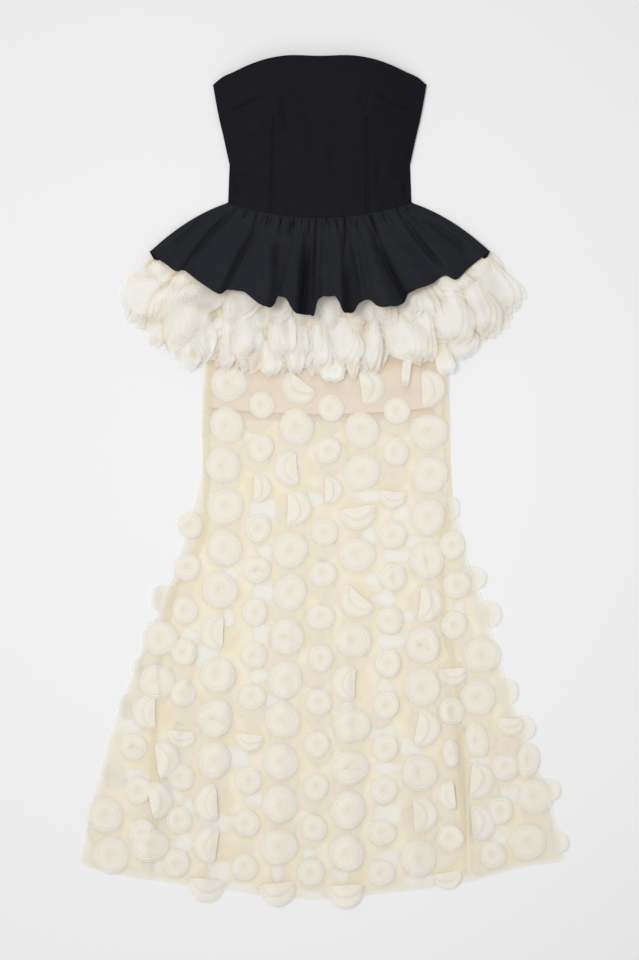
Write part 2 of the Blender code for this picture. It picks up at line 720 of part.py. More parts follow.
def half_outline(outline, side, centre_x):
    """The part of an outline on one side of the centre back seam."""
    edge = centre_x + side * 0.5 * SEAM_GAP
    kept = []
    for a, b in zip(outline, np.roll(outline, -1, axis=0)):
        a_in, b_in = (a[0] - edge) * side > 1e-4, (b[0] - edge) * side > 1e-4
        if a_in:
            kept.append(tuple(a))
        if a_in != b_in:
            t = (edge - a[0]) / (b[0] - a[0])
            kept.append((edge, a[1] + t * (b[1] - a[1])))
    return np.array(kept)


# Slip

def slip_outline(hem_y):
    """The slip's edge, anticlockwise from its top at the wearer's right, with a hem that dips in the middle."""
    sides = ((0.1500, 0.4500), (0.1900, 0.3600), (SLIP_HALF_WIDTH, 0.2700), (SLIP_HALF_WIDTH, hem_y))
    right = [(-x, y) for x, y in sides]
    left = [(x, y) for x, y in reversed(sides)]
    hem = [(x, hem_y - SLIP_HEM_DIP * (1 - (x / SLIP_HALF_WIDTH) ** 2)) for x in np.linspace(-0.15, 0.15, 7)]
    top = [(x, y) for x, y in waist_line() if abs(x - BODICE_CENTRE_X) < 0.90 * WAIST_HALF_WIDTH]
    return np.array(right + hem + left + top)


def make_slip(blush):
    """The short slip inside the skirt: a front, and a back in two halves that meet at the zip."""
    back_level = ORGANZA_WALL + SEAM_GAP
    front_level = back_level + SLIP_WALL + SEAM_GAP
    flat_layer("slip_front", slip_outline(SLIP_FRONT_HEM_Y), front_level, SLIP_WALL, blush)
    for name, side in (("slip_back_left", 1), ("slip_back_right", -1)):
        outline = half_outline(slip_outline(SLIP_BACK_HEM_Y), side, BODICE_CENTRE_X)
        flat_layer(name, outline, back_level, SLIP_WALL, blush)


# Ruffle

def tier_plan(tier, u, v):
    """Where a point of a tier lies: u runs along its seam from -1 to 1, and v from its seam to its petals' tips."""
    angle = np.radians(tier.half_angle) * u
    seam_angle = 0.5 * np.pi * u
    tip_x = BODICE_CENTRE_X + 0.002 + tier.tip_x * np.sin(angle)
    tip_y = tier.tip_y - tier.tip_radius * np.cos(angle)
    seam_x = BODICE_CENTRE_X + tier.seam_x * np.sin(seam_angle)
    seam_y = tier.seam_y - tier.seam_drop * np.cos(seam_angle)
    _, across = petal_place(tier, u)
    reach = np.hypot(tip_x - seam_x, tip_y - seam_y)
    share = v * (1 - tier.scallop / reach * np.abs(across) ** 2.4 * v)
    return seam_x + (tip_x - seam_x) * share, seam_y + (tip_y - seam_y) * share


def petal_place(tier, u):
    """Which petal a point is on, and how far across it, from -1 to 1."""
    along_seam = np.clip((u + 1) / 2, 0, 1 - 1e-9) * tier.petals
    petal = np.floor(along_seam)
    return petal, 2 * (along_seam - petal) - 1


def puff(tier, u, v):
    """How far a petal stands up: flat at its seam, full in its middle and curling down at its tip and sides."""
    petal, across = petal_place(tier, u)
    size = 1 + 0.16 * np.sin(2.6 * petal + tier.petals)
    out = blend(0.30, 0.66, v) * (1 - 0.55 * blend(0.74, 1.0, v))
    return tier.rise * size * (1 - np.abs(across) ** 2.0) * out


def tier_wall(name, tier, floor, rows, columns_each, organza, flat_under=False):
    """One tier as a wall that stands on a floor given by its plan position."""

    def outer(u, v):
        side = 2 * u - 1
        x, y = tier_plan(tier, side, v)
        return x, y, floor(x, y, side, v) + PETAL_WALL + puff(tier, side, v)

    def inner(u, v):
        x, y, z = outer(u, v)
        if flat_under:
            return x, y, floor(x, y, 2 * u - 1, v)
        return x, y, z - PETAL_WALL

    grid_wall(name, outer, inner, tier.petals * columns_each, rows, organza)


def refined(grid, axis, times):
    """A grid of points with more points along one axis, on straight lines between its own."""
    grid = np.moveaxis(grid, axis, 0)
    steps = np.linspace(0, len(grid) - 1, (len(grid) - 1) * times + 1)
    low = np.minimum(steps.astype(int), len(grid) - 2)
    t = (steps - low)[:, None, None]
    return np.moveaxis(grid[low] * (1 - t) + grid[low + 1] * t, 0, axis)


def tier_points(tier, floor, rows, columns_each):
    """Points spread closely over the top of a tier, as its own wall has it."""
    shares = np.linspace(-1, 1, tier.petals * columns_each + 1)
    v, u = np.meshgrid(np.linspace(0, 1, rows + 1), shares, indexing="ij")
    x, y = tier_plan(tier, u, v)
    grid = np.stack([x, y, floor(x, y, u, v) + PETAL_WALL + puff(tier, u, v)], axis=-1)
    return refined(refined(grid, 0, 6), 1, 3).reshape(-1, 3)


def highest_near(points, x, y, reach):
    """The height of the highest of the points within reach of each place, or 0 where there is none."""
    near = np.hypot(x[:, None] - points[:, 0], y[:, None] - points[:, 1]) < reach
    return np.where(near, points[:, 2], 0.0).max(axis=1)


def make_ruffle(organza):
    """Two tiers of petals in front, one over the other, and one flattened tier behind."""

    def back_floor(x, y, u, v):
        return (PEPLUM_WALL + SEAM_GAP) * (1 - blend(*BACK_PETALS_COME_DOWN, v)) * np.ones_like(x)

    def lower_floor(x, y, u, v):
        return pile_height(x, y) + SEAM_GAP + PETAL_CLEARANCE

    lower_top = tier_points(LOWER_TIER, lower_floor, 5, 6)

    def upper_floor(x, y, u, v):
        resting = highest_near(lower_top, x, y, TIER_REACH) + 2 * PETAL_CLEARANCE
        return np.maximum(lower_floor(x, y, u, v), resting)

    tier_wall("ruffle_back", BACK_TIER, back_floor, 4, 3, organza, flat_under=True)
    tier_wall("ruffle_front_lower", LOWER_TIER, lower_floor, 5, 6, organza)
    tier_wall("ruffle_front_upper", UPPER_TIER, upper_floor, 5, 6, organza)


def clear_scene():
    for thing in list(bpy.data.objects):
        bpy.data.objects.remove(thing, do_unlink=True)


def main():
    clear_scene()
    black = cloth("black_faille", (0.012, 0.013, 0.016), 0.75)
    tape = cloth("zip_tape", (0.010, 0.010, 0.012), 0.80)
    organza = cloth("cream_organza", (0.84, 0.79, 0.66), 0.60)
    blush = cloth("blush_lining", (0.80, 0.69, 0.57), 0.65)
    make_bodice(black, tape)
    make_peplum(black)
    make_skirt(organza)
    make_slip(blush)
    make_ruffle(organza)


main()
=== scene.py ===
"""The looks of a strapless gown laid flat: a black faille bodice and gathered peplum over a ruffle of organza petals
and a floor-length sheer skirt with round appliques. Metres, +Z up, in the frame of the CAD model."""

import math
from collections import namedtuple

import bpy
import numpy as np
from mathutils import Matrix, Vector
from mathutils.geometry import delaunay_2d_cdt


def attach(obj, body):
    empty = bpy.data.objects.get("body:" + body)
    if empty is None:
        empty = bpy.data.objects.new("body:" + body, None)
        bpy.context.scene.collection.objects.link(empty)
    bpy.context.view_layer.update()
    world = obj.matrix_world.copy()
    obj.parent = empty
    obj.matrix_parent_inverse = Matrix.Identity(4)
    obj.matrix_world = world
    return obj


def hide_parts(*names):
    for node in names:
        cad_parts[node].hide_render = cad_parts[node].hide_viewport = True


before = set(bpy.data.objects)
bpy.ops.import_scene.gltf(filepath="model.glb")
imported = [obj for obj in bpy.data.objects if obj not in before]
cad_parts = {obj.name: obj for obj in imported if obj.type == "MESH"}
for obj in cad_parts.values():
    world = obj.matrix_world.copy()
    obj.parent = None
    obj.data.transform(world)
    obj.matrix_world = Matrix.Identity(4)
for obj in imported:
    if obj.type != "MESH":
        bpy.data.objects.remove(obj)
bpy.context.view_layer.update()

# The photograph's scale: metres for each pixel, and the pixel that lies over the origin

PIXEL = 0.00175
ORIGIN_PX = (321.5, 481.5)


def place(px, py):
    """The (x, y) in metres of a pixel of the photograph."""
    return (px - ORIGIN_PX[0]) * PIXEL, (ORIGIN_PX[1] - py) * PIXEL


def pixel(x, y):
    """The pixel of the photograph that lies over a place in metres."""
    return ORIGIN_PX[0] + x / PIXEL, ORIGIN_PX[1] - y / PIXEL


def table(columns, text):
    """A table written as text: a word for each row, with a comma between its values."""
    kind = namedtuple("Row", columns)
    return [kind(*map(float, word.split(","))) for word in text.split()]


# Sizes that the CAD model has too

PEPLUM_WALL = 0.0015
ORGANZA_WALL = 0.0012
SLIP_WALL = 0.0010

BODICE_CENTRE_X = -0.0030
WAIST_CENTRE_Y = 0.4611
WAIST_SIDE_Y = 0.4878
WAIST_HALF_WIDTH = 0.1610

PEPLUM_HEM_CENTRE_Y = 0.3065
PEPLUM_HEM_SIDE_Y = 0.4030
PEPLUM_HEM_HALF_WIDTH = 0.2975
PEPLUM_SIDE_BOW = 0.0100
GATHERS = 24
GATHER_DEPTH = 0.0024

LARGE_DISC_RADIUS = 0.0320
SMALL_DISC_RADIUS = 0.0240
FOLDED_DISC_RISE = 0.0042

RUFFLE_BACK_TOP = 0.0038
SLIP_HALF_WIDTH = 0.1980
SLIP_FRONT_HEM_Y = 0.1300
SLIP_BACK_HEM_Y = 0.1160
SLIP_HEM_DIP = 0.0120
SLIP_RAMP = ((0.0800, 0.1000), (0.0, 1.0))
SLIP_SIDES = ((0.198, 0.30), (0.175, 0.40), (0.150, 0.458))
WAIST_TURNING = 0.0006
SEAM_GAP = 0.0003

# The bodice front, down its side seam from the underarm (0) to the waist (1)
BODICE_SECTIONS = table("down half_width crown", """
    0,0.1868,0.023 0.15,0.1816,0.03 0.3,0.1755,0.031 0.45,0.1682,0.0285 0.6,0.1615,0.025 0.76,0.154,0.0215
    0.86,0.149,0.0195 0.91,0.148,0.0185 0.96,0.153,0.018 1,0.161,0.018
""")

# The neckline, from the centre out to the underarm, as a share of the half width
NECKLINE = table("out y", """
    0,0.7438 0.37,0.7434 0.52,0.7376 0.68,0.7271 0.8,0.7166 0.92,0.7061 1,0.694
""")

# Each sewn dart of the front, from its wide end to its point, mirrored on the other side
DARTS = table("x0 y0 x1 y1", """
    0.087,0.466,0.0815,0.637 0.156,0.648,0.101,0.673
""")
DART_DEPTH = 0.0012
BUST_X, BUST_Y, BUST_RISE, BUST_SPREAD = 0.0850, 0.6650, 0.0070, 0.0480

# The flutes of the peplum, as shares of its half width at the hem: where each rises out of a valley, where its
# crest is and how high the crest stands
FLUTES = table("valley crest rise", """
    -1,-0.96,0.004 -0.93,-0.855,0.01 -0.8,-0.59,0.016 -0.515,-0.31,0.019 -0.225,-0.09,0.023 0.025,0.16,0.021
    0.27,0.4,0.021 0.52,0.61,0.013 0.705,0.79,0.014 0.905,0.96,0.005
""")
FLUTES_END = 1.000

# The skirt's outline, down its two sides and along its hem
SKIRT_RIGHT_SIDE = table("x y", """
    -0.16,0.456 -0.19,0.38 -0.205,0.28 -0.2075,0.1916 -0.2095,0.0726 -0.213,0.0026 -0.2336,-0.0674
    -0.2511,-0.1374 -0.2791,-0.2074 -0.3089,-0.2774 -0.3491,-0.3824 -0.3725,-0.4524 -0.3925,-0.5224
    -0.41,-0.5924 -0.419,-0.6449 -0.4215,-0.669
""")
SKIRT_HEM = table("x y", """
    -0.3701,-0.6851 -0.3001,-0.6974 -0.2301,-0.7079 -0.1776,-0.7131 -0.1076,-0.724 -0.0376,-0.73 0.0149,-0.7305
    0.0849,-0.7236 0.1549,-0.7149 0.2074,-0.7079 0.2599,-0.6974 0.3124,-0.6851 0.3649,-0.672
""")
SKIRT_LEFT_SIDE = table("x y", """
    0.42,-0.6641 0.4209,-0.6449 0.4086,-0.5924 0.3964,-0.5399 0.3719,-0.4874 0.3456,-0.4174 0.3229,-0.3474
    0.3019,-0.2774 0.2826,-0.2074 0.2564,-0.1374 0.2406,-0.0674 0.22,0.0026 0.2126,0.0726 0.2126,0.1916
    0.208,0.28 0.19,0.38 0.156,0.456
""")

# The skirt front's long soft folds, each opening out from a point at the hip to its width at the hem line
FOLDS_END_Y = -0.7450
SKIRT_FOLDS = table("x y hem_x half_width rise", """
    -0.172,-0.06,-0.332,0.042,0.007 -0.118,0.02,-0.218,0.04,0.005 -0.05,-0.12,-0.085,0.042,0.0045
    0.038,-0.06,0.052,0.044,0.005 0.105,0.04,0.166,0.042,0.0045 0.164,-0.04,0.268,0.038,0.0085
""")

# Where the skirt back's underside bends as it comes off the table and over the back ruffle and peplum: (y, height)
BENDS = ((-1.0, 0.0), (0.148, 0.0), (0.17, RUFFLE_BACK_TOP + SEAM_GAP), (0.42, RUFFLE_BACK_TOP + SEAM_GAP),
         (0.45, PEPLUM_WALL + SEAM_GAP), (1.0, PEPLUM_WALL + SEAM_GAP))


def blend(low, high, value):
    """0 below low, 1 above high, and a smooth rise between them."""
    t = np.clip((np.asarray(value, float) - low) / (high - low), 0.0, 1.0)
    return t * t * (3.0 - 2.0 * t)


def bell(away, width):
    """1 where away is 0, falling off on both sides: 0.37 at the width."""
    return np.exp(-((away / width) ** 2))


def stacked(*columns):
    """Arrays side by side, as the last axis of one."""
    return np.stack(columns, axis=-1)


def curve(keys, values, at):
    """What a smooth curve through the values at their keys comes to at other places."""
    keys, values = np.asarray(keys), np.asarray(values)
    slopes = np.gradient(values, keys)
    at = np.clip(np.asarray(at, float), keys[0], keys[-1])
    i = np.clip(np.searchsorted(keys, at, side="right") - 1, 0, len(keys) - 2)
    span = keys[i + 1] - keys[i]
    t = (at - keys[i]) / span
    return (
        values[i] * (2 * t**3 - 3 * t**2 + 1)
        + slopes[i] * span * (t**3 - 2 * t**2 + t)
        + values[i + 1] * (3 * t**2 - 2 * t**3)
        + slopes[i + 1] * span * (t**3 - t**2)
    )


def along(rows, key, column, value):
    """A table's column at a value of its key, on a smooth curve through the rows."""
    return curve([getattr(row, key) for row in rows], [getattr(row, column) for row in rows], value)


def smoothed(points, count):
    """The x and y of a smooth line through the points, in a number of places."""
    steps, knots = np.linspace(0, len(points) - 1, count), np.arange(len(points))
    x, y = np.transpose(points)
    return curve(knots, x, steps), curve(knots, y, steps)


def triangles_over(points, polygon):
    """Triangles that fill the polygon and keep the points, as (points, faces)."""
    coords = [Vector(p) for p in [*points, *polygon]]
    made = delaunay_2d_cdt(coords, [], [list(range(len(points), len(coords)))], 0, 1e-6, False)
    flat = np.array([tuple(p) for p in made[0]])
    triangles = np.array([tuple(f) for f in made[2]])
    a, b, c = (flat[triangles[:, k]] for k in range(3))
    area = (b[:, 0] - a[:, 0]) * (c[:, 1] - a[:, 1]) - (b[:, 1] - a[:, 1]) * (c[:, 0] - a[:, 0])
    kept = inside((a + b + c) / 3, polygon) & (np.abs(area) > 1e-12)
    triangles = np.where(area[:, None] > 0, triangles, triangles[:, ::-1])[kept]
    used, index = np.unique(triangles, return_inverse=True)
    return flat[used], index.reshape(-1, 3)


def inside(points, polygon, margin=0.0):
    """Which points lie inside a polygon, and at least the margin from its edge."""
    polygon = np.asarray(polygon)
    nxt = np.roll(polygon, -1, axis=0)
    x, y = points[:, 0][:, None], points[:, 1][:, None]
    crosses = (polygon[:, 1] > y) != (nxt[:, 1] > y)
    with np.errstate(divide="ignore", invalid="ignore"):
        at = polygon[:, 0] + (y - polygon[:, 1]) * (nxt[:, 0] - polygon[:, 0]) / (nxt[:, 1] - polygon[:, 1])
    within = (crosses & (x < at)).sum(axis=1) % 2 == 1
    edge = nxt - polygon
    t = np.clip(((x - polygon[:, 0]) * edge[:, 0] + (y - polygon[:, 1]) * edge[:, 1]) / (edge**2).sum(axis=1), 0, 1)
    distance = np.hypot(x - polygon[:, 0] - t * edge[:, 0], y - polygon[:, 1] - t * edge[:, 1]).min(axis=1)
    return within & (distance >= margin)


# How the layers lie on each other

def lying_height(y):
    """Height of the skirt back's underside above the table."""
    return np.interp(y, *zip(*BENDS))


def pile_height(x, y):
    """Height of the top of the skirt, or of the back ruffle beyond the skirt's sides."""
    skirt_top = lying_height(0.3) + 2 * (ORGANZA_WALL + SLIP_WALL) + 3 * SEAM_GAP
    over_discs = FOLDED_DISC_RISE * (1 - blend(0.215, 0.245, y))
    beside = RUFFLE_BACK_TOP + SEAM_GAP
    return beside + (skirt_top + over_discs - beside) * (1 - blend(0.216, 0.310, np.abs(x)))


def waist_y(u):
    return WAIST_CENTRE_Y + (WAIST_SIDE_Y - WAIST_CENTRE_Y) * u**2


def crown_height(u, crown):
    """A bodice section across: low at the side seams and full in the middle."""
    return 0.0040 + crown * np.clip(1 - np.abs(u) ** 2.6, 0, 1) ** 0.75


# Bodice

def bodice_front_outer(u, v):
    side = 2 * u - 1
    half_width = along(BODICE_SECTIONS, "down", "half_width", v)
    x = BODICE_CENTRE_X + side * half_width
    neck = along(NECKLINE, "out", "y", np.abs(side))
    y = neck * (1 - v) + waist_y(side) * v
    z = crown_height(side, along(BODICE_SECTIONS, "down", "crown", v))
    from_centre = np.abs(x - BODICE_CENTRE_X)
    apex = np.hypot(from_centre - BUST_X, y - BUST_Y)
    z = z + BUST_RISE * bell(apex, BUST_SPREAD)
    for dart in DARTS:
        run = np.array([dart.x1 - dart.x0, dart.y1 - dart.y0])
        t = ((from_centre - dart.x0) * run[0] + (y - dart.y0) * run[1]) / (run @ run)
        near = np.clip(t, 0, 1)
        away = np.hypot(from_centre - dart.x0 - near * run[0], y - dart.y0 - near * run[1])
        z = z - DART_DEPTH * bell(away, 0.005) * (1 - blend(0.8, 1.0, t))
    return x, y, z


# Peplum

def flute_shape(u):
    """Of each flute at u from -1 to 1: its height from 0 to 1, and its rise."""
    edges = np.array([f.valley for f in FLUTES] + [FLUTES_END])
    i = np.clip(np.searchsorted(edges, u, side="right") - 1, 0, len(FLUTES) - 1)
    crest = np.array([f.crest for f in FLUTES])[i]
    side = np.where(u < crest, (crest - u) / (crest - edges[i]), (u - crest) / (edges[i + 1] - crest))
    height = (0.5 + 0.5 * np.cos(np.pi * np.clip(side, 0, 1))) ** 0.7
    return height, np.array([f.rise for f in FLUTES])[i]


def peplum_base(u, v):
    """Height of the peplum's valleys above the table."""
    across = np.clip(1 - np.abs(u) ** 2.6, 0, 1) ** 0.75
    return 0.0036 + across * (0.0184 + 0.0200 * blend(0.0, 0.9, v)) + 0.0040 * blend(0.1, 0.9, v)


def peplum_plan(u, v):
    half_width = WAIST_HALF_WIDTH + (PEPLUM_HEM_HALF_WIDTH - WAIST_HALF_WIDTH) * v
    x = BODICE_CENTRE_X + u * half_width
    hem = PEPLUM_HEM_CENTRE_Y + (PEPLUM_HEM_SIDE_Y - PEPLUM_HEM_CENTRE_Y) * u**2
    bow = PEPLUM_SIDE_BOW * 4 * v * (1 - v) * u**4
    return x, (waist_y(u) - SEAM_GAP) * (1 - v) + hem * v + bow


def gather_shape(u, v):
    """Small gathers that run out of the waist seam and die away into the flutes."""
    phase = GATHERS * np.pi * (u + 0.012 * np.sin(9 * u) + 0.008 * np.sin(23 * u))
    length = 0.30 + 0.14 * np.sin(17 * u)
    fade = blend(0.0, 0.08, v) * bell(v, length) * (1 - np.abs(u) ** 6)
    return GATHER_DEPTH * (0.5 + 0.5 * np.cos(phase)) * fade


# Meshes

def mesh_object(name, points, faces, material, slot):
    """A smooth object that rides on the gown, with its material. Its slot is not used."""
    mesh = bpy.data.meshes.new(name)
    mesh.from_pydata(np.asarray(points, float).reshape(-1, 3).tolist(), [], [tuple(f) for f in faces])
    mesh.polygons.foreach_set("use_smooth", [True] * len(mesh.polygons))
    mesh.materials.append(material)
    mesh.update()
    obj = bpy.data.objects.new(name, mesh)
    bpy.context.scene.collection.objects.link(obj)
    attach(obj, "root")
    return obj


def grid_faces(rows, columns, flip=False):
    """The faces of a grid of points that runs row by row."""
    r, c = np.meshgrid(np.arange(rows - 1), np.arange(columns - 1), indexing="ij")
    a = (r * columns + c).ravel()
    quads = np.stack([a, a + 1, a + columns + 1, a + columns], axis=1)
    return quads[:, ::-1] if flip else quads


def grid_shell(name, outer, wall, material, slot):
    """A closed cloth from a grid of its outer points, thickened downwards."""
    rows, columns = outer.shape[:2]
    count = rows * columns
    top, bottom = outer.reshape(-1, 3), outer.reshape(-1, 3) - [0, 0, wall]
    up = grid_faces(rows, columns, flip=True)
    index = np.arange(count).reshape(rows, columns)
    rim = np.concatenate([index[0], index[1:, -1], index[-1, -2::-1], index[-2:0:-1, 0]])
    nxt = np.roll(rim, -1)
    sides = np.stack([rim, nxt, nxt + count, rim + count], axis=1)
    faces = np.concatenate([up, up[:, ::-1] + count, sides])
    return mesh_object(name, np.concatenate([top, bottom]), faces, material, slot)


def add_values(obj, values):
    """Stores each point's shade, rim and ring, which the organza's material reads."""
    for name, column in zip(("shade", "rim", "ring"), np.asarray(values, np.float32).reshape(-1, 3).T):
        layer = obj.data.attributes.new(name, "FLOAT", "POINT")
        layer.data.foreach_set("value", np.ascontiguousarray(column))


def add_shade(obj, shade):
    """Stores each point's shade alone."""
    add_values(obj, stacked(shade, 0 * shade, 0 * shade))


def points_of(obj):
    """The object's own points, one row each."""
    found = np.empty(3 * len(obj.data.vertices), np.float32)
    obj.data.vertices.foreach_get("co", found)
    return found.reshape(-1, 3).astype(float)


def joined(parts):
    """Several (points, faces, values) as one."""
    points, faces, values, start = [], [], [], 0
    for p, f, v in parts:
        points.append(p.reshape(-1, 3))
        faces.append(f + start)
        values.append(v.reshape(-1, 3))
        start += len(points[-1])
    return np.concatenate(points), np.concatenate(faces), np.concatenate(values)


def organza_object(name, parts, material):
    """An object of organza from the (points, faces, values) that joined gives."""
    points, faces, values = parts
    obj = mesh_object(name, points, faces, material, "cream_organza")
    add_values(obj, values)
    return obj


def from_line(x, y, line):
    """The distance of each point from a line of points, and how far along it the nearest place is, from 0 to 1."""
    x, y = np.asarray(x, float), np.asarray(y, float)
    ends = np.asarray(line, float)
    lengths = np.hypot(*np.diff(ends, axis=0).T)
    total, before = lengths.sum(), 0.0
    best, share = np.full(x.shape, 1e9), np.zeros(x.shape)
    for (x0, y0), (x1, y1), length in zip(ends[:-1], ends[1:], lengths):
        t = np.clip(((x - x0) * (x1 - x0) + (y - y0) * (y1 - y0)) / length**2, 0, 1)
        away = np.hypot(x - x0 - t * (x1 - x0), y - y0 - t * (y1 - y0))
        share = np.where(away < best, (before + t * length) / total, share)
        best = np.minimum(best, away)
        before += length
    return best, share


# Creases listed in pixels of the photograph: how high each stands (or how deep it is, below 0), its half
# width and how it fades: 0 at both ends, 1 only at its last end, 2 nowhere

Crease = namedtuple("Crease", "height half_width fade line")


def creases(text):
    """A table of creases written as text: a word for each, with its height, half width, fade and line of pixels."""
    rows = [[float(value) for value in word.split(",")] for word in text.split()]
    return [Crease(*row[:2], int(row[2]), [place(*p) for p in zip(row[3::2], row[4::2])]) for row in rows]


BODICE_CREASES = creases("""
    -0.0011,0.0022,1,273,213,273,160,273,116 -0.0011,0.0022,1,367,212,366,160,364,116
    -0.001,0.0022,1,240,107,262,95 -0.001,0.0022,1,411,107,392,97,376,91 -0.003,0.006,0,278,84,284,112,292,143
    -0.0026,0.0055,0,364,90,361,100,357,111 -0.0018,0.005,0,372,86,368,102,364,118
    0.0026,0.006,0,394,180,399,184,403,193 -0.002,0.007,0,381,153,378,194 -0.0024,0.007,0,244,172,253,196
    0.0016,0.008,0,238,150,250,205 0.0016,0.01,0,300,100,305,190 -0.0016,0.009,0,330,130,336,200
""")
PEPLUM_CREASES = creases("""
    -0.0068,0.006,0,214,211,190,232,162,254 -0.0085,0.0055,0,238,206,212,232,183,268
    -0.0119,0.006,1,223,294,243,252,267,213 -0.004,0.008,0,282,222,276,254,276,280,275,306
    -0.0051,0.004,0,293,219,292,240 -0.0187,0.0085,1,303,314,305,280,308,240,309,220
    -0.0051,0.0035,1,316,314,312,273,315,219 -0.0068,0.004,1,346,312,344,270,344,249,342,219
    0.0068,0.007,1,369,297,362,255,357,226 -0.0119,0.008,1,402,296,388,272,379,250,370,216
    -0.0085,0.0055,0,397,210,418,240,452,280 0.0037,0.003,0,406,219,416,229 -0.0037,0.003,0,411,216,421,226
    -0.0068,0.006,0,416,212,448,236,482,262
""")

# Painted shade where the peplum's folds lie in shadow, taken away where below 0: strength, half width in metres, fade
# and line in pixels
PEPLUM_SHADES = creases("""
    1,0.0125,1,303,316,304,285,307,250,309,222 0.9,0.0095,1,348,314,347,285,345,252
    0.85,0.009,1,405,298,388,264,373,232 0.45,0.009,1,270,306,275,280,281,240
    0.45,0.0045,1,224,293,243,254,267,213 0.35,0.005,0,450,279,424,246,404,214
    0.35,0.006,0,182,270,210,236,240,206 0.5,0.0035,0,316,312,314,270,316,222
    0.45,0.003,0,362,300,353,255,346,222 0.7,0.0026,1,256.5,214,253,228,246,246
    0.95,0.0022,1,281,219,280,226,277,240 0.5,0.006,0,278,236,275,256,276,276
    0.9,0.0018,1,294,219,294,224,292.5,231 0.85,0.002,1,309.5,220,309,228,307.5,240
    0.8,0.002,1,316,220,315,240,314.5,270 0.85,0.0018,1,326.5,219,326,223,325,229
    0.85,0.0018,1,335.5,220,337,227,339,236 1,0.0024,1,344.5,219,344.5,240,345,262
    0.7,0.002,1,356,219,357,228,359,242 1,0.0036,1,370.5,216,375,229,381,245
    0.9,0.0018,1,382,214,384,219,388,226 1,0.0018,1,397,210,399,214,403,220
    0.8,0.0018,1,405,207,407,210,410,215 0.8,0.0018,1,268,217,267,222,264,230
    0.8,0.0018,1,246,212,244,216,239,223 0.7,0.0018,1,236,208,233,213,228,219
    0.7,0.0016,1,302,219,301.5,223,300,229 0.7,0.0016,1,350,219,350.5,222,351.5,228
    -0.3,0.012,1,328,296,328,270,328,240 -0.25,0.012,1,375,300,368,270,360,245
""")


def creased(x, y, rows):
    """How far the creases lift the cloth at each point."""
    lift = np.zeros(np.shape(x))
    for crease in rows:
        away, share = from_line(x, y, crease.line)
        fade = (blend(0, 0.35, share) * blend(0, 0.35, 1 - share), blend(0, 0.6, 1 - share), 1.0)[crease.fade]
        lift = lift + crease.height * fade * bell(away, crease.half_width)
    return lift


# Materials

class Look:
    """A material, with short ways to set it and to add nodes to it."""

    def __init__(self, name):
        self.material = bpy.data.materials.new(name)
        self.material.use_nodes = True
        self.nodes, self.links = self.material.node_tree.nodes, self.material.node_tree.links
        self.shader = self.nodes["Principled BSDF"]
        self.where = self.add("TexCoord", "Object", {})

    def put(self, node, inputs):
        """Sets each of a node's inputs to a value, or joins it to a socket."""
        for name, value in inputs.items():
            if isinstance(value, bpy.types.NodeSocket):
                self.links.new(value, node.inputs[name])
            else:
                node.inputs[name].default_value = value

    def add(self, kind, output, inputs, **settings):
        """The named output of a new node."""
        made = self.nodes.new("ShaderNode" + kind)
        for name, value in settings.items():
            setattr(made, name, value)
        self.put(made, inputs)
        return made.outputs[output]

    def attribute(self, name):
        return self.add("Attribute", "Fac", {}, attribute_name=name)

    def maths(self, operation, first, second=0.0):
        return self.add("Math", "Value", {0: first, 1: second}, operation=operation)

    def noise(self, scale, detail=3.0):
        return self.add("TexNoise", "Fac", {"Vector": self.where, "Scale": scale, "Detail": detail})

    def weave(self, pitch, axis):
        """Threads that lie side by side along one axis."""
        return self.add("TexWave", "Fac", {"Vector": self.where, "Scale": 0.314 / pitch, "Distortion": 1.2,
                                           "Detail Scale": 3.0}, bands_direction=axis)

    def mixed(self, factor, first, second):
        """A colour ramp from the first colour to the second."""
        ramp = self.nodes.new("ShaderNodeValToRGB")
        for element, colour in zip(ramp.color_ramp.elements, (first, second)):
            element.color = (*colour, 1)
        self.links.new(factor, ramp.inputs["Fac"])
        return ramp.outputs["Color"]

    def bumped(self, *heights):
        """Stacks bump maps, each (height, distance in metres)."""
        below = {}
        for height, distance in heights:
            inputs = {"Height": height, "Distance": distance, "Strength": 1.0, **below}
            below = {"Normal": self.add("Bump", "Normal", inputs)}
        self.put(self.shader, below)
        return self.material


def faille(name, colour, sheen):
    """Black cloth with fine cross ribs and a soft bloom, and painted shade that darkens it deep in its folds."""
    cloth = Look(name)
    dull, bright, deep = (tuple(share * c for c in colour) for share in (0.8, 1.25, 0.35))
    # Painted shade: each point's shade value mixes the colour towards a darker one
    painted_fold_shade = cloth.add("Mix", "Result", {"Factor": cloth.attribute("shade"), "B": (*deep, 1),
                                          "A": cloth.mixed(cloth.noise(60.0, 4.0), dull, bright)}, data_type="RGBA")
    cloth.put(cloth.shader, {"Base Color": painted_fold_shade, "Roughness": 0.7, "Specular IOR Level": 0.06,
                             "Sheen Weight": sheen, "Sheen Roughness": 0.35, "Sheen Tint": (0.75, 0.82, 1.0, 1)})
    return cloth.bumped((cloth.noise(220.0), 0.0003), (cloth.weave(0.0011, "Y"), 0.00005))


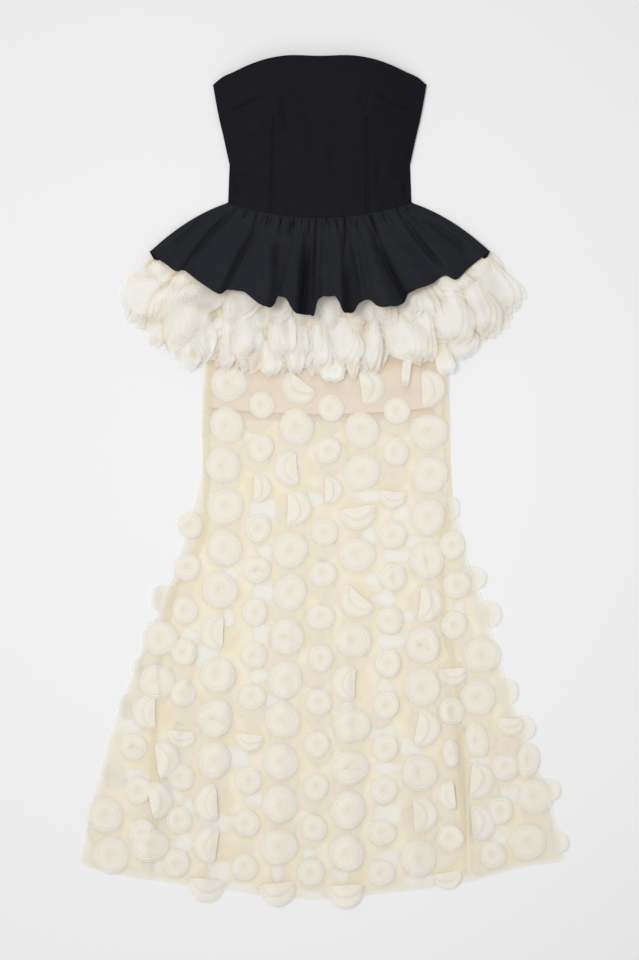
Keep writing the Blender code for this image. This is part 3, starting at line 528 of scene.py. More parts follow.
def organza(name, deep, top, cover_in, cover_rim):
    """Sheer crisp cloth. Each point's shade runs its colour from the top one to the deep one, which on most pieces is
    painted shade; its rim thins it out, and its ring counts the fine frilled rings from its edge and ripples the
    colour as painted light and shade."""
    cloth = Look(name)
    rings = cloth.maths("SINE", cloth.maths("MULTIPLY", cloth.attribute("ring"), 2 * math.pi))
    uneven = cloth.maths("MULTIPLY", cloth.noise(35.0, 4.0), 0.30)
    # The rings ripple the colour lighter and darker: painted light and shade of the frills
    shade = cloth.maths("ADD", cloth.maths("ADD", cloth.attribute("shade"), uneven),
                        cloth.maths("MULTIPLY", rings, 0.20))
    cover = cover_in
    if cover_rim != cover_in:
        cover = cloth.add("MapRange", "Result", {"Value": cloth.attribute("rim"), "To Min": cover_in,
                                                 "To Max": cover_rim})
    cloth.put(cloth.shader, {"Base Color": cloth.mixed(cloth.maths("SUBTRACT", shade, 0.15), top, deep),
                             "Alpha": cover, "Roughness": 0.55, "Specular IOR Level": 0.3,
                             "Sheen Weight": 0.12, "Sheen Roughness": 0.5})
    return cloth.bumped((cloth.noise(120.0), 0.0003), (rings, 0.00005), (cloth.weave(0.0009, "Y"), 0.00003),
                        (cloth.weave(0.0009, "X"), 0.00003))


def sheen_cloth(name, colour, alpha):
    """Plain woven cloth with a soft uneven tone."""
    cloth = Look(name)
    darker, lighter = (tuple(min(1.0, share * c) for c in colour) for share in (0.94, 1.04))
    cloth.put(cloth.shader, {"Base Color": cloth.mixed(cloth.noise(18.0, 4.0), darker, lighter), "Alpha": alpha,
                             "Roughness": 0.5, "Specular IOR Level": 0.3})
    return cloth.bumped((cloth.noise(90.0), 0.0003), (cloth.weave(0.0008, "Y"), 0.00003))


BLACK = faille("black_faille_cloth", (0.0082, 0.0086, 0.0112), 0.08)
# Painted light: the peplum's faille is the bodice's black made about twice as light, standing in for the sheen on its
# flutes
PEPLUM_BLACK_PAINTED_LIGHT = faille("peplum_faille_cloth", (0.0158, 0.0166, 0.0208), 0.17)
TAPE = faille("zip_tape_cloth", (0.0100, 0.0100, 0.0120), 0.05)
SKIRT_SHEER = sheen_cloth("skirt_organza", (0.98, 0.94, 0.80), 0.28)
# Painted shade: the side folds' cloth is darker amber than the skirt's, for the shade where the sides turn under
SIDE_FOLD_SHADED_SHEER = sheen_cloth("side_organza", (0.88, 0.77, 0.52), 0.50)
BLUSH = organza("blush_shaded_lining", (0.50, 0.30, 0.14), (0.775, 0.650, 0.530), 0.96, 0.96)
BACK_CLOTH = organza("skirt_back_organza", (0.885, 0.765, 0.55), (0.95, 0.885, 0.735), 0.86, 0.10)
DISC_CLOTH = organza("disc_organza", (0.88, 0.80, 0.64), (0.955, 0.925, 0.845), 0.76, 0.42)
BACK_DISC_CLOTH = organza("back_disc_organza", (0.89, 0.79, 0.60), (0.96, 0.90, 0.77), 0.72, 0.0)
PETAL_CLOTH = organza("petal_organza", (0.885, 0.77, 0.57), (0.96, 0.95, 0.905), 0.68, 0.42)


# Bodice

def grid_of(function, columns, rows):
    u, v = np.meshgrid(np.linspace(0, 1, columns), np.linspace(0, 1, rows))
    return np.stack(function(u, v), axis=-1)


def bodice_surface(u, v):
    """The bodice front with its darts pulled in, its soft creases and the line of its turned top edge."""
    x, y, z = bodice_front_outer(u, v)
    z = z + creased(x, y, BODICE_CREASES)
    from_top = along(NECKLINE, "out", "y", np.abs(2 * u - 1)) - y
    z = z - 0.0005 * bell(from_top - 0.0045, 0.0012)
    z = z - 0.0012 * bell(from_top, 0.0016)
    ripple = 0.0004 * np.sin(260 * x + 40 * y) * blend(0.86, 1.0, v)
    return x, y, z + ripple


PEPLUM_LOWEST = 0.0033
BODICE_CLOTH, PEPLUM_CLOTH = 0.0012, 0.0010
BODICE_GRID, PEPLUM_GRID = (260, 150), (400, 100)
PEPLUM_HEM = table("px py", """
    149,251.4 159.8,260.2 168,266 175,271.2 178,271.8 181.2,270.5 186.3,272.4 196.5,280.1 209.3,289 216,293.2
    219.5,294.6 222.5,294 226,290.9 232.2,290.6 238,291.4 244.4,292.6 251.4,298.2 259,304.3 265.4,307
    272.5,307.2 275.6,303 277.4,298.2 281.5,297.4 286.6,299.6 290,306 294.5,312.4 302.4,315 310,315.6
    314.6,314.6 317,303.5 321,298.2 329,297.2 336.6,298.6 339.8,304.6 342.6,311.4 348,313.6 354,312.2
    357.6,305.8 362.2,302 368,300.4 372,302 375.4,305.6 380.5,307.6 390.5,307 399.5,305.8 404.8,301.6
    407.6,295.4 413.4,291.4 427.1,286.3 434.2,282.8 440.1,278 446,276.3 450.2,278.6 453.8,280.3 468.4,268.6
    479.6,259.4 490.6,250.9
""")


def fine_gathers(side):
    """The small gathers at the peplum's waist, between -1 and 1."""
    return np.sin(26 * np.pi * (side + 0.010 * np.sin(13 * side)))


def peplum_surface(u, v):
    """The peplum front: gathers that run out of the waist, flutes that roll over and the listed creases."""
    side = 2 * u - 1
    height, rise = flute_shape(side)
    x, y = peplum_plan(side, v)
    hem = along(PEPLUM_HEM, "px", "py", ORIGIN_PX[0] + (BODICE_CENTRE_X + side * PEPLUM_HEM_HALF_WIDTH) / PIXEL)
    plain = PEPLUM_HEM_CENTRE_Y + (PEPLUM_HEM_SIDE_Y - PEPLUM_HEM_CENTRE_Y) * side**2
    y = y + ((ORIGIN_PX[1] - hem) * PIXEL - plain) * v**3
    z = peplum_base(side, v) + height * rise * v**1.3
    sharp = 0.0016 * np.abs(fine_gathers(side)) ** 0.5
    near = blend(0, 0.05, v) * bell(v, 0.12 + 0.08 * np.sin(31 * side)) * (1 - np.abs(side) ** 8)
    z = z + 1.2 * gather_shape(side, v) + sharp * near + creased(x, y, PEPLUM_CREASES) * blend(0, 0.1, v)
    soft = 0.0012 * np.sin(70 * side + 5 * v) * v * (1 - v) + 0.0008 * np.sin(31 * side - 9 * v) * v
    tucked = 0.0010 * (1 - blend(0, 0.03, v))
    return x, y + tucked, np.maximum(z + soft, PEPLUM_LOWEST) - tucked


BODICE = grid_shell("bodice_front_cloth", grid_of(bodice_surface, *BODICE_GRID), BODICE_CLOTH, BLACK, "black_faille")
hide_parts("bodice_front")
at = points_of(BODICE)
# Painted shade along the sewn darts
painted_dart_shade = np.zeros(len(at))
for side in (-1, 1):
    for dart in DARTS:
        line = [(BODICE_CENTRE_X + side * dart.x0, dart.y0), (BODICE_CENTRE_X + side * dart.x1, dart.y1)]
        painted_dart_shade = painted_dart_shade + 0.55 * bell(from_line(at[:, 0], at[:, 1], line)[0], 0.0017)
add_shade(BODICE, np.clip(painted_dart_shade, 0, 1))


def hem_columns(count):
    """Columns of the peplum's grid spaced evenly along its hem."""
    u = np.linspace(0, 1, 4000)
    x, y, _ = peplum_surface(u, np.ones_like(u))
    run = np.concatenate([[0], np.cumsum(np.hypot(np.diff(x), np.diff(y)) + 0.35 * np.abs(np.diff(x)))])
    return np.interp(np.linspace(0, run[-1], count), run, u)


def peplum_shade(grid, u, v):
    """How much painted shade each point gets, deep in a fold or a gather."""
    side = 2 * u - 1
    gather = np.abs(fine_gathers(side))
    reach = bell(v, 0.13 + 0.09 * np.sin(31 * side)) * (1 - np.abs(side) ** 6)
    folds = creased(grid[..., 0], grid[..., 1], PEPLUM_SHADES)
    return np.clip(folds + 0.35 * (1 - blend(0.0, 0.55, gather)) * reach, -0.3, 1)


def tip_piece(name, *corners):
    """The back of the peplum where it shows beyond the tip of its front: a corner for each of three pixels."""
    points = [(*place(*corner), TIP_HEIGHT) for corner in corners]
    obj = mesh_object(name, np.array(points), [(0, 1, 2)], BLACK, "black_faille")
    # The tip takes painted shade all over, darker than the plain faille
    add_shade(obj, np.full(3, 0.8))
    return obj


TIP_HEIGHT = 0.0150
PEPLUM_U, PEPLUM_V = np.meshgrid(hem_columns(PEPLUM_GRID[0]), np.linspace(0, 1, PEPLUM_GRID[1]))
PEPLUM_OUTER = np.stack(peplum_surface(PEPLUM_U, PEPLUM_V), axis=-1)
PEPLUM = grid_shell("peplum_front_cloth", PEPLUM_OUTER, PEPLUM_CLOTH, PEPLUM_BLACK_PAINTED_LIGHT, "black_faille")
# Painted shade in the peplum's folds and gathers
add_shade(PEPLUM, np.tile(peplum_shade(PEPLUM_OUTER, PEPLUM_U, PEPLUM_V).ravel(), 2))
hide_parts("peplum_front")
TIPS = [tip_piece("peplum_tip_right", (149.6, 251.4), (155.6, 262.8), (161.5, 259.4)),
        tip_piece("peplum_tip_left", (490.2, 250.9), (478.5, 259.0), (484.9, 261.6))]


def from_node(node, material):
    """A piece on a flat hidden node's own points."""
    mesh = bpy.data.objects[node].data.copy() if node in bpy.data.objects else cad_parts[node].data.copy()
    mesh.name = node + "_cloth"
    mesh.materials.clear()
    mesh.materials.append(material)
    obj = bpy.data.objects.new(node + "_cloth", mesh)
    bpy.context.scene.collection.objects.link(obj)
    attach(obj, "root")
    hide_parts(node)
    return obj


HIDDEN = {n: from_node(n, BLACK) for n in (
    "bodice_back_left", "bodice_back_right", "peplum_back_left", "peplum_back_right")}
HIDDEN["zip_tape"] = from_node("zip_tape", TAPE)


# Skirt and slip

def skirt_edge(tuck=0.0):
    """The skirt's edge, anticlockwise from its top at the wearer's right, rounded between its points."""
    sides = [*SKIRT_RIGHT_SIDE, *SKIRT_HEM, *SKIRT_LEFT_SIDE]
    x, y = smoothed(sides, 6 * len(sides))
    shares = np.linspace(0.92, -0.92, 25)
    top = np.stack([BODICE_CENTRE_X + shares * WAIST_HALF_WIDTH, waist_y(shares) - WAIST_TURNING], axis=1)
    return np.concatenate([np.stack([x - tuck * np.sign(x), y], axis=1), top])


def fold_height(x, y):
    """Height of the skirt front's soft folds, each widening and rising to the hem."""
    height = np.zeros_like(x)
    for fold in SKIRT_FOLDS:
        t = np.clip((fold.y - y) / (fold.y - FOLDS_END_Y), 1e-9, 1)
        away = np.abs(x - fold.x - (fold.hem_x - fold.x) * t) / (fold.half_width * t)
        height = height + fold.rise * t * np.cos(0.5 * np.pi * np.clip(away, 0, 1)) ** 2 * (y < fold.y)
    return height


def skirt_level(x, y):
    """The skirt front's height: it lies on the skirt back and the slip, and lifts in its folds."""
    slip = 2 * (SLIP_WALL + SEAM_GAP)
    level = lying_height(y) + 2 * ORGANZA_WALL + SEAM_GAP + slip * np.interp(y, *SLIP_RAMP)
    return level + fold_height(x, y) + 0.0004 * np.sin(60 * x + 9 * y) * np.sin(40 * y)


def slip_edge(hem_y):
    """The slip's edge, with its hem dipping in the middle."""
    shares = np.linspace(-1, 1, 31)
    hem = [(SLIP_HALF_WIDTH * s, hem_y - SLIP_HEM_DIP * (1 - s**2)) for s in shares]
    return np.array([*hem, *SLIP_SIDES, *((-x, y) for x, y in SLIP_SIDES[::-1])])


def layer(name, edge, level, pitch, material, slot):
    """One sheer thickness of cloth inside an edge, at a height given by a function."""
    xs = np.arange(edge[:, 0].min(), edge[:, 0].max(), pitch)
    ys = np.arange(edge[:, 1].min(), edge[:, 1].max(), pitch)
    lattice = np.stack(np.meshgrid(xs, ys), axis=-1).reshape(-1, 2)
    lattice = lattice[inside(lattice, edge, 0.3 * pitch)]
    flat, faces = triangles_over(lattice, edge)
    points = np.column_stack([flat, level(flat[:, 0], flat[:, 1])])
    return mesh_object(name, points, faces, material, slot)


# How far apart the points of each sheer cloth are, and how dark the slip's back is all over, with painted shadow under
# the front's hem
SKIRT_PITCH, SLIP_PITCH, SKIRT_BACK_PITCH = 0.0075, 0.0050, 0.0046
SLIP_BACK_SHADE, SLIP_HEM_SHADE, SLIP_HEM_SHADE_REACH = 0.10, 0.42, 0.0065
SLIP_FRONT_LIFT = 0.0005

SKIRT_FRONT = layer("skirt_front_cloth", skirt_edge(), skirt_level, SKIRT_PITCH, SKIRT_SHEER, "cream_organza")
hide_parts("skirt_front")
SLIP_FRONT = layer("slip_front_cloth", slip_edge(SLIP_FRONT_HEM_Y),
                   lambda x, y: lying_height(y) + ORGANZA_WALL + SLIP_WALL + 2 * SEAM_GAP + SLIP_FRONT_LIFT,
                   SLIP_PITCH, BLUSH, "blush_lining")
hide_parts("slip_front")
SLIP_BACK = layer("slip_back_cloth", slip_edge(SLIP_BACK_HEM_Y),
                  lambda x, y: lying_height(y) + ORGANZA_WALL + SEAM_GAP, SLIP_PITCH, BLUSH, "blush_lining")
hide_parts("slip_back_left", "slip_back_right")
# Painted shadow on the slip's back, just under the front's hem
at = points_of(SLIP_BACK)
under_hem = SLIP_FRONT_HEM_Y - SLIP_HEM_DIP * (1 - (at[:, 0] / SLIP_HALF_WIDTH) ** 2) - at[:, 1]
add_shade(SLIP_BACK, SLIP_BACK_SHADE + SLIP_HEM_SHADE * bell(under_hem, SLIP_HEM_SHADE_REACH))


def disc_columns(text):
    """Columns of discs written as text, as (radius, discs): L or S begins a column of large or small discs, and each
    disc is its pixel and its lie, which is o if it is left out."""
    columns = []
    for word in text.split():
        if word in ("L", "S"):
            columns.append((LARGE_DISC_RADIUS if word == "L" else SMALL_DISC_RADIUS, []))
        else:
            px, py, lie = (word + ",o").split(",")[:3]
            columns[-1][1].append((float(px), float(py), lie))
    return columns


# The discs of the front. A disc's lie is o flat, c creased across, v creased upright, n folded narrow, or folded
# double with the round side to the left (l), the right (r), down (d) or down and left (x)

DISC_COLUMNS = disc_columns("""
    L 105,815 111,855 S 134,747,c 138,790 142,833 L 160,638 157,682,v 150,712,l 162,760,r 155,800,r 150,845 S
    190,525 187,567 185,610 184,652 183,693 182,735,d 181,777 179,820 176,863 L 229,384 227,425 223,465 225,507
    225,548 220,590 218,632,l 218,675 215,718,c 214,760 212,803,l 212,845,l 207,884,d S 262,405 261,448
    258,488,r 258,528 257,570,c 255,612 254,655 252,697 250,738,d 249,780 247,823 245,867 L 300,386,x 297,427
    292,468,l 293,508,r 290,550 290,592 287,637,c 285,680 283,720 281,762 280,804 279,847 277,888,d S 331,367
    331,408 328,450 329,490,r 325,532 323,574 321,617 321,658 319,702 317,744 316,787 314,828 311,872 L
    366,387,r 362,430 362,472 358,512,d 357,555 358,600,x 354,640 350,683,l 352,725 350,768,c 348,810 347,853
    345,890,d S 397,411 396,452 393,495,d 393,535 393,577 390,620 388,663 386,705 385,748 384,790 382,833
    381,873 L 427,389,r 429,432 430,475 428,517 427,560 425,603,r 423,645,c 422,687 422,728,r 420,773 419,815,r
    419,858 S 452,545 457,585 454,625 453,672,d 452,711 451,753,n 451,795,l 450,838 447,876,d L 482,655 478,697
    477,740,n 476,780,r 477,823,r S 510,722,d 505,767 500,810 493,855 L 528,760,n 535,797 528,842
""")
# Each layer's size and lift, and where each lie's fold is, as a share of the radius, and which way it faces
LAYER_STEPS = ((1.01, 0.0003), (0.93, 0.0007), (0.80, 0.0011))
ONE_LAYER = ((1.0, 0.0),)
LAYER_WANDER = 0.0008
DISC_FOLDS = {"l": (0.28, 1.0, 0.0), "r": (0.28, -1.0, 0.0), "d": (0.26, 0.0, 1.0), "x": (0.30, 0.72, 0.69)}
DISC_RINGS, DISC_SIDES = 6, 32
RING_SHARES = np.linspace(0, 1, DISC_RINGS + 1) ** 0.85
RING_PITCH = 0.0043
random = np.random.default_rng(7)


def rounds(reach_at):
    """The x and y of points round a middle, ring by ring, out to a reach given by direction."""
    r, a = np.meshgrid(RING_SHARES, 2 * np.pi * np.arange(DISC_SIDES) / DISC_SIDES, indexing="ij")
    reach = reach_at(a)
    return r * reach * np.cos(a), r * reach * np.sin(a)


def disc_layer(radius, lift, lie, turn):
    """One layer of a disc about its own centre, stitched down in its middle and waved at its rim. It comes as a
    list of parts: the disc itself, and any flap that is folded over onto it. Each part is (points, values)."""
    if lie not in DISC_FOLDS:
        return [surface(*rounds(lambda a: np.full_like(a, radius)), radius, lift, lie, turn)]
    share, dx, dy = DISC_FOLDS[lie]
    fold = share * radius
    middle = radius * (share + 0.42 * (1 - share))

    def reach(a):
        out = np.cos(a)
        return np.where(out > 1e-3, np.minimum(radius, fold / np.maximum(out, 1e-3)), radius)

    def flap_reach(a):
        out = np.cos(a)
        to_rim = -middle * out + np.sqrt(radius**2 - middle**2 * (1 - out**2))
        return np.where(out < -1e-3, np.minimum(to_rim, (fold - middle) / np.minimum(out, -1e-3)), to_rim)

    flap_x, flap_y = rounds(flap_reach)
    parts = [surface(*rounds(reach), radius, lift, lie, turn),
             surface(flap_x + middle, flap_y, radius, lift, lie, turn)]
    flap = parts[1][0]
    from_fold = flap[..., 0] - fold
    flap[..., 2] += 0.0005 + 0.0010 * blend(0, 0.5 * radius, from_fold)
    flap[..., 0] = fold - from_fold
    size = math.hypot(dx, dy)
    for points, _ in parts:
        x, y = points[..., 0].copy(), points[..., 1].copy()
        points[..., 0], points[..., 1] = (x * dx - y * dy) / size, (x * dy + y * dx) / size
    return parts


def surface(x, y, radius, lift, lie, turn):
    """The height of a disc's cloth, and its values, at places about its centre."""
    r, a = np.hypot(x, y) / radius, np.arctan2(y, x)
    waves = 0.5 * np.sin(3 * a + turn) + 0.5 * np.sin(5 * a - 1.7 * turn)
    swell = 1 + (0.030 * np.sin(2 * a + turn) + 0.022 * waves) * r
    stitch = bell(r * radius, 0.0060)
    z = lift + 0.0010 * (1 - r**2) + 0.0005 * waves * r**3 - 0.0014 * stitch
    z = z + 0.0002 * np.sin(4 * a + 2 * turn) * bell(r - 0.25, 0.2)
    if lie == "c":
        z = z + 0.0030 * bell(y + 0.2 * x, 0.0030) * blend(0.05, 0.35, r) * (1 - r**2)
    if lie == "v":
        z = z + 0.0036 * bell(x + 0.1 * y, 0.0032) * (0.3 + r)
    wide, tall = (0.965 + 0.05 * math.sin(1.7 * turn), 1 + 0.03 * math.cos(2.3 * turn)) if lie in "ocv" else (1, 1)
    wide = 0.62 if lie == "n" else wide
    shade = 0.45 * (1 - r**2.5) + 0.28 * stitch
    ring = (r + 0.04 * r * np.sin(2 * a + turn)) * radius / RING_PITCH
    values = stacked(shade, blend(0.80, 0.99, r), ring)
    return stacked(x * swell * wide, y * swell * tall, z), values


def disc_faces():
    """Rings of quads round a middle of thin triangles."""
    k = np.arange(DISC_SIDES)
    nxt = (k + 1) % DISC_SIDES
    rows = np.arange(DISC_RINGS)[:, None] * DISC_SIDES
    quads = stacked(rows + k, rows + DISC_SIDES + k, rows + DISC_SIDES + nxt, rows + nxt)
    return quads.reshape(-1, 4)


def disc_parts(columns, layers, level):
    """Every disc of the columns, in layers of (size, lift), on a height given by a function."""
    parts = []
    for radius, discs in columns:
        for px, py, lie in discs:
            x, y = place(px, py)
            turn, spin = random.uniform(0, 6.28), random.uniform(-0.2, 0.2)
            c, s = math.cos(spin), math.sin(spin)
            shown = layers if lie in "ocvn" else layers[:2]
            for k, (size, lift) in enumerate(shown):
                wander = LAYER_WANDER * k
                for p, values in disc_layer(radius * size, lift, lie, turn):
                    at_x = x + c * p[..., 0] - s * p[..., 1] + wander * math.cos(turn)
                    at_y = y + s * p[..., 0] + c * p[..., 1] + wander * math.sin(turn)
                    points = stacked(at_x, at_y, level(at_x, at_y) + p[..., 2])
                    parts.append((points, disc_faces(), values))
    return joined(parts)


DISCS = organza_object("skirt_discs", disc_parts(DISC_COLUMNS, LAYER_STEPS, skirt_level), DISC_CLOTH)

# The windows, in pixels (centre and half sizes), where neither face of the skirt has a disc and the table shows

WINDOWS = table("px py across up", """
    264,509,13,7 264,553,6,6 264,592,8,10 262,633,6,9 229,574,7,5 227,618,6,5 207,656,9,9 260,676,7,7
    315,499,6,8 190,634,6,5 371,496,16,5 368,537,9,6 396,556,11,6 385,598,9,9 406,615,5,4 390,642,13,6
    401,513,5,6 459,609,5,4 373,579,5,4 419,542,12,5 274,700,8,4 237,756,12,8 172,792,6,8 186,808,8,6
    219,823,16,6 184,843,10,8 219,871,8,8 155,863,8,6 129,776,10,6 131,725,12,8 278,873,5,5 254,798,7,4
    308,854,5,6 240,888,10,4 311,894,12,4 384,733,12,5 410,747,7,6 386,768,12,5 391,815,14,7 389,859,10,9
    499,838,7,4 480,761,6,4 509,795,9,5 419,878,14,5 340,875,8,4 386,686,6,5 346,706,6,3
""")


def from_middle(px, py, spot):
    """How far each pixel is from a spot's middle: 1 at its edge."""
    return np.hypot((px - spot.px) / spot.across, (py - spot.py) / spot.up)


def window_share(x, y):
    """1 in the middle of a window and 0 away from them all, with soft uneven edges."""
    px, py = pixel(x, y)
    found = np.zeros_like(x)
    for w in WINDOWS:
        wander = 0.18 * np.sin(0.35 * px + 0.6 * w.py) + 0.18 * np.sin(0.41 * py + 0.5 * w.px)
        away = np.hypot((px - w.px) / (w.across + 3.0), (py - w.py) / (w.up + 3.0))
        found = np.maximum(found, 1 - blend(0.72, 1.20, away + wander))
    return found


def painted_disc_shadow(x, y):
    """Painted shadow beside each disc: 1 close beside one, on the side away from the light, and 0 away from them all.
    """
    found = np.zeros_like(x)
    for radius, discs in DISC_COLUMNS:
        for px, py, _ in discs:
            cx, cy = place(px, py)
            away = np.hypot(x - cx - 0.003, y - cy + 0.004) / radius
            found = np.maximum(found, 1 - blend(0.96, 1.26, away))
    return found


def back_discs():
    """The back's discs, half a row off the front's, without those that would close a window."""
    found = []
    for radius, discs in DISC_COLUMNS:
        kept = []
        for (x0, y0, _), (x1, y1, _) in zip(discs[:-1], discs[1:]):
            for px, py in ((0.5 * (x0 + x1), 0.5 * (y0 + y1)), (0.5 * (x0 + x1) + 31, 0.25 * y0 + 0.75 * y1)):
                px, py = px + 3.0 * random.normal(), py + 4.0 * random.normal()
                reach = radius / PIXEL
                closed = any(abs(px - w.px) < 0.75 * reach + w.across and abs(py - w.py) < 0.75 * reach + w.up
                             for w in WINDOWS)
                if not closed and inside(np.array([place(px, py)]), SKIRT_INNER, BACK_DISC_MARGIN)[0]:
                    kept.append((px, py, "o"))
        found.append((radius, kept))
    return found


# The back's inset and lift, its discs' lift and least way in from its edge, and where its cloth thins out to that edge
BACK_TUCK, BACK_LIFT, BACK_DISC_LIFT, BACK_DISC_MARGIN = 0.004, 0.0003, 0.0004, 0.020
EDGE_STEPS = (0.002, 0.006, 0.010, 0.014, 0.018)

SKIRT_INNER = skirt_edge(BACK_TUCK)
SKIRT_BACK = layer("skirt_back_cloth", SKIRT_INNER, lambda x, y: lying_height(y) + BACK_LIFT, SKIRT_BACK_PITCH,
                   BACK_CLOTH, "cream_organza")
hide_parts("skirt_back_left", "skirt_back_right")
at = points_of(SKIRT_BACK)
x, y = at[:, 0], at[:, 1]
tone = 0.22 + 0.25 * np.sin(37 * x + 11 * y) * np.sin(43 * y - 13 * x) + 0.20 * np.sin(90 * x + 3 * np.sin(60 * y))
# Painted shadow beside the discs, added to the uneven tone
tone = tone + 0.60 * painted_disc_shadow(x, y)
from_edge = np.mean([inside(at[:, :2], SKIRT_INNER, m) for m in EDGE_STEPS], axis=0)
add_values(SKIRT_BACK, stacked(tone, np.maximum(window_share(x, y), 0.95 * (1 - from_edge)), 0 * x))
points, faces, values = disc_parts(back_discs(), ONE_LAYER, lambda x, y: lying_height(y) + BACK_DISC_LIFT)
points[:, 2] = np.maximum(points[:, 2], BACK_DISC_LIFT)
soft_rim = np.repeat(blend(0.72, 1.0, RING_SHARES), DISC_SIDES)
values[:, 1] = np.tile(soft_rim, len(values) // len(soft_rim))
BACK_DISCS = organza_object("skirt_back_discs", (points, faces, values), BACK_DISC_CLOTH)


def band(name, width, material, depth, line):
    """A strip of cloth under the skirt front, or over it if the depth is below 0, along a line written in pixels."""
    line = [place(*row) for row in table("px py", line)]
    x, y = smoothed(line, 8 * len(line))
    shares = np.linspace(0, len(line) - 1, len(x))
    dx, dy = np.gradient(x), np.gradient(y)
    length = np.hypot(dx, dy)
    sides = np.linspace(-0.5, 0.5, 5)[None, :] * width * (1 + 0.25 * np.sin(3.0 * shares))[:, None]
    px, py = x[:, None] - (dy / length)[:, None] * sides, y[:, None] + (dx / length)[:, None] * sides
    points = stacked(px, py, skirt_level(px, py) - depth)
    return mesh_object(name, points, grid_faces(len(x), 5), material, "cream_organza")


BANDS = [
    band("centre_back_seam", 0.012, SKIRT_SHEER, 0.0009, "328,420 325,530 321,640 318,760 315,886"),
    band("side_fold_right", 0.013, SIDE_FOLD_SHADED_SHEER, 0.0008,
         "208,366 206,440 205,520 194,556 174,592 163,640 155,700 154,800 150,872"),
    band("side_fold_left", 0.013, SIDE_FOLD_SHADED_SHEER, 0.0008,
         "442,366 446,440 449,505 442,545 442,600 450,650 458,700 460,780 463,874"),
    band("side_fold_line", 0.0060, SKIRT_SHEER, -0.0006, "462,690 466,760 468,830 469,870"),
]

# The ruffle: rounds of organza folded into petals, laid one over another and each resting on those beneath

CELL = 0.0020
PILE_BOX = (-0.40, 0.12, 0.40, 0.44)
BAND_GRID = (12, 90)
PETAL_ROWS, PETAL_COLUMNS = 17, 15
PETAL_WAIST = 0.56
PETAL_LIFT = 0.64
FREE_HEIGHT, UNDER_PEPLUM = 0.062, 0.0026
UNDERSIDE_GRID = (900, 260)
LEAST_ROOM, LEAST_HEIGHT = 0.0004, 0.0003
# Depths over which the petals take painted shade, and how much painted shade goes in the hollows, below the peplum's
# hem and on the slip
SHADED_FROM, SHADED_TO = 0.0010, 0.0072
HOLLOW_SHADE, HEM_SHADE, HEM_SHADE_REACH = 0.9, 0.40, 0.014
SLIP_SHADE, SLIP_HOLLOW_SHADE, SLIP_SHADE_REACH = 0.40, 0.55, 0.018


class Pile:
    """The height of what lies at each place of the ruffle so far."""

    def __init__(self):
        self.x = np.arange(PILE_BOX[0], PILE_BOX[2], CELL)
        self.y = np.arange(PILE_BOX[1], PILE_BOX[3], CELL)
        self.top = pile_height(*np.meshgrid(self.x, self.y))
        self.settle()

    def settle(self):
        """Eases the steps, so that what comes next drapes over them."""
        eased = self.top
        for _ in range(2):
            eased = np.maximum.reduce([np.roll(eased, s, axis) for s in (-1, 0, 1) for axis in (0, 1)])
        for _ in range(4):
            eased = (eased + np.roll(eased, 1, 0) + np.roll(eased, -1, 0)) / 3
            eased = (eased + np.roll(eased, 1, 1) + np.roll(eased, -1, 1)) / 3
        self.eased = np.maximum(eased, self.top)

    def cells(self, x, y):
        column = np.clip(((x - PILE_BOX[0]) / CELL).round().astype(int), 0, len(self.x) - 1)
        row = np.clip(((y - PILE_BOX[1]) / CELL).round().astype(int), 0, len(self.y) - 1)
        return row, column

    def at(self, x, y):
        """The eased height, evened out between the cells."""
        column = np.clip((x - PILE_BOX[0]) / CELL, 0, len(self.x) - 1.001)
        row = np.clip((y - PILE_BOX[1]) / CELL, 0, len(self.y) - 1.001)
        c, r = column.astype(int), row.astype(int)
        s, t = column - c, row - r
        low = self.eased[r, c] * (1 - s) + self.eased[r, c + 1] * s
        return low * (1 - t) + (self.eased[r + 1, c] * (1 - s) + self.eased[r + 1, c + 1] * s) * t

    def add(self, x, y, z):
        np.maximum.at(self.top, self.cells(x, y), z)
        self.settle()


def peplum_underside():
    """The highest that the ruffle may stand in each cell: below the peplum's underside where that covers it."""
    free = np.full(PILE.top.shape, FREE_HEIGHT)
    p = grid_of(peplum_surface, *UNDERSIDE_GRID).reshape(-1, 3)
    np.minimum.at(free, PILE.cells(p[:, 0], p[:, 1]), p[:, 2] - UNDER_PEPLUM)
    for _ in range(2):
        free = np.minimum.reduce([np.roll(free, s, axis) for s in (-1, 0, 1) for axis in (0, 1)])
    return free


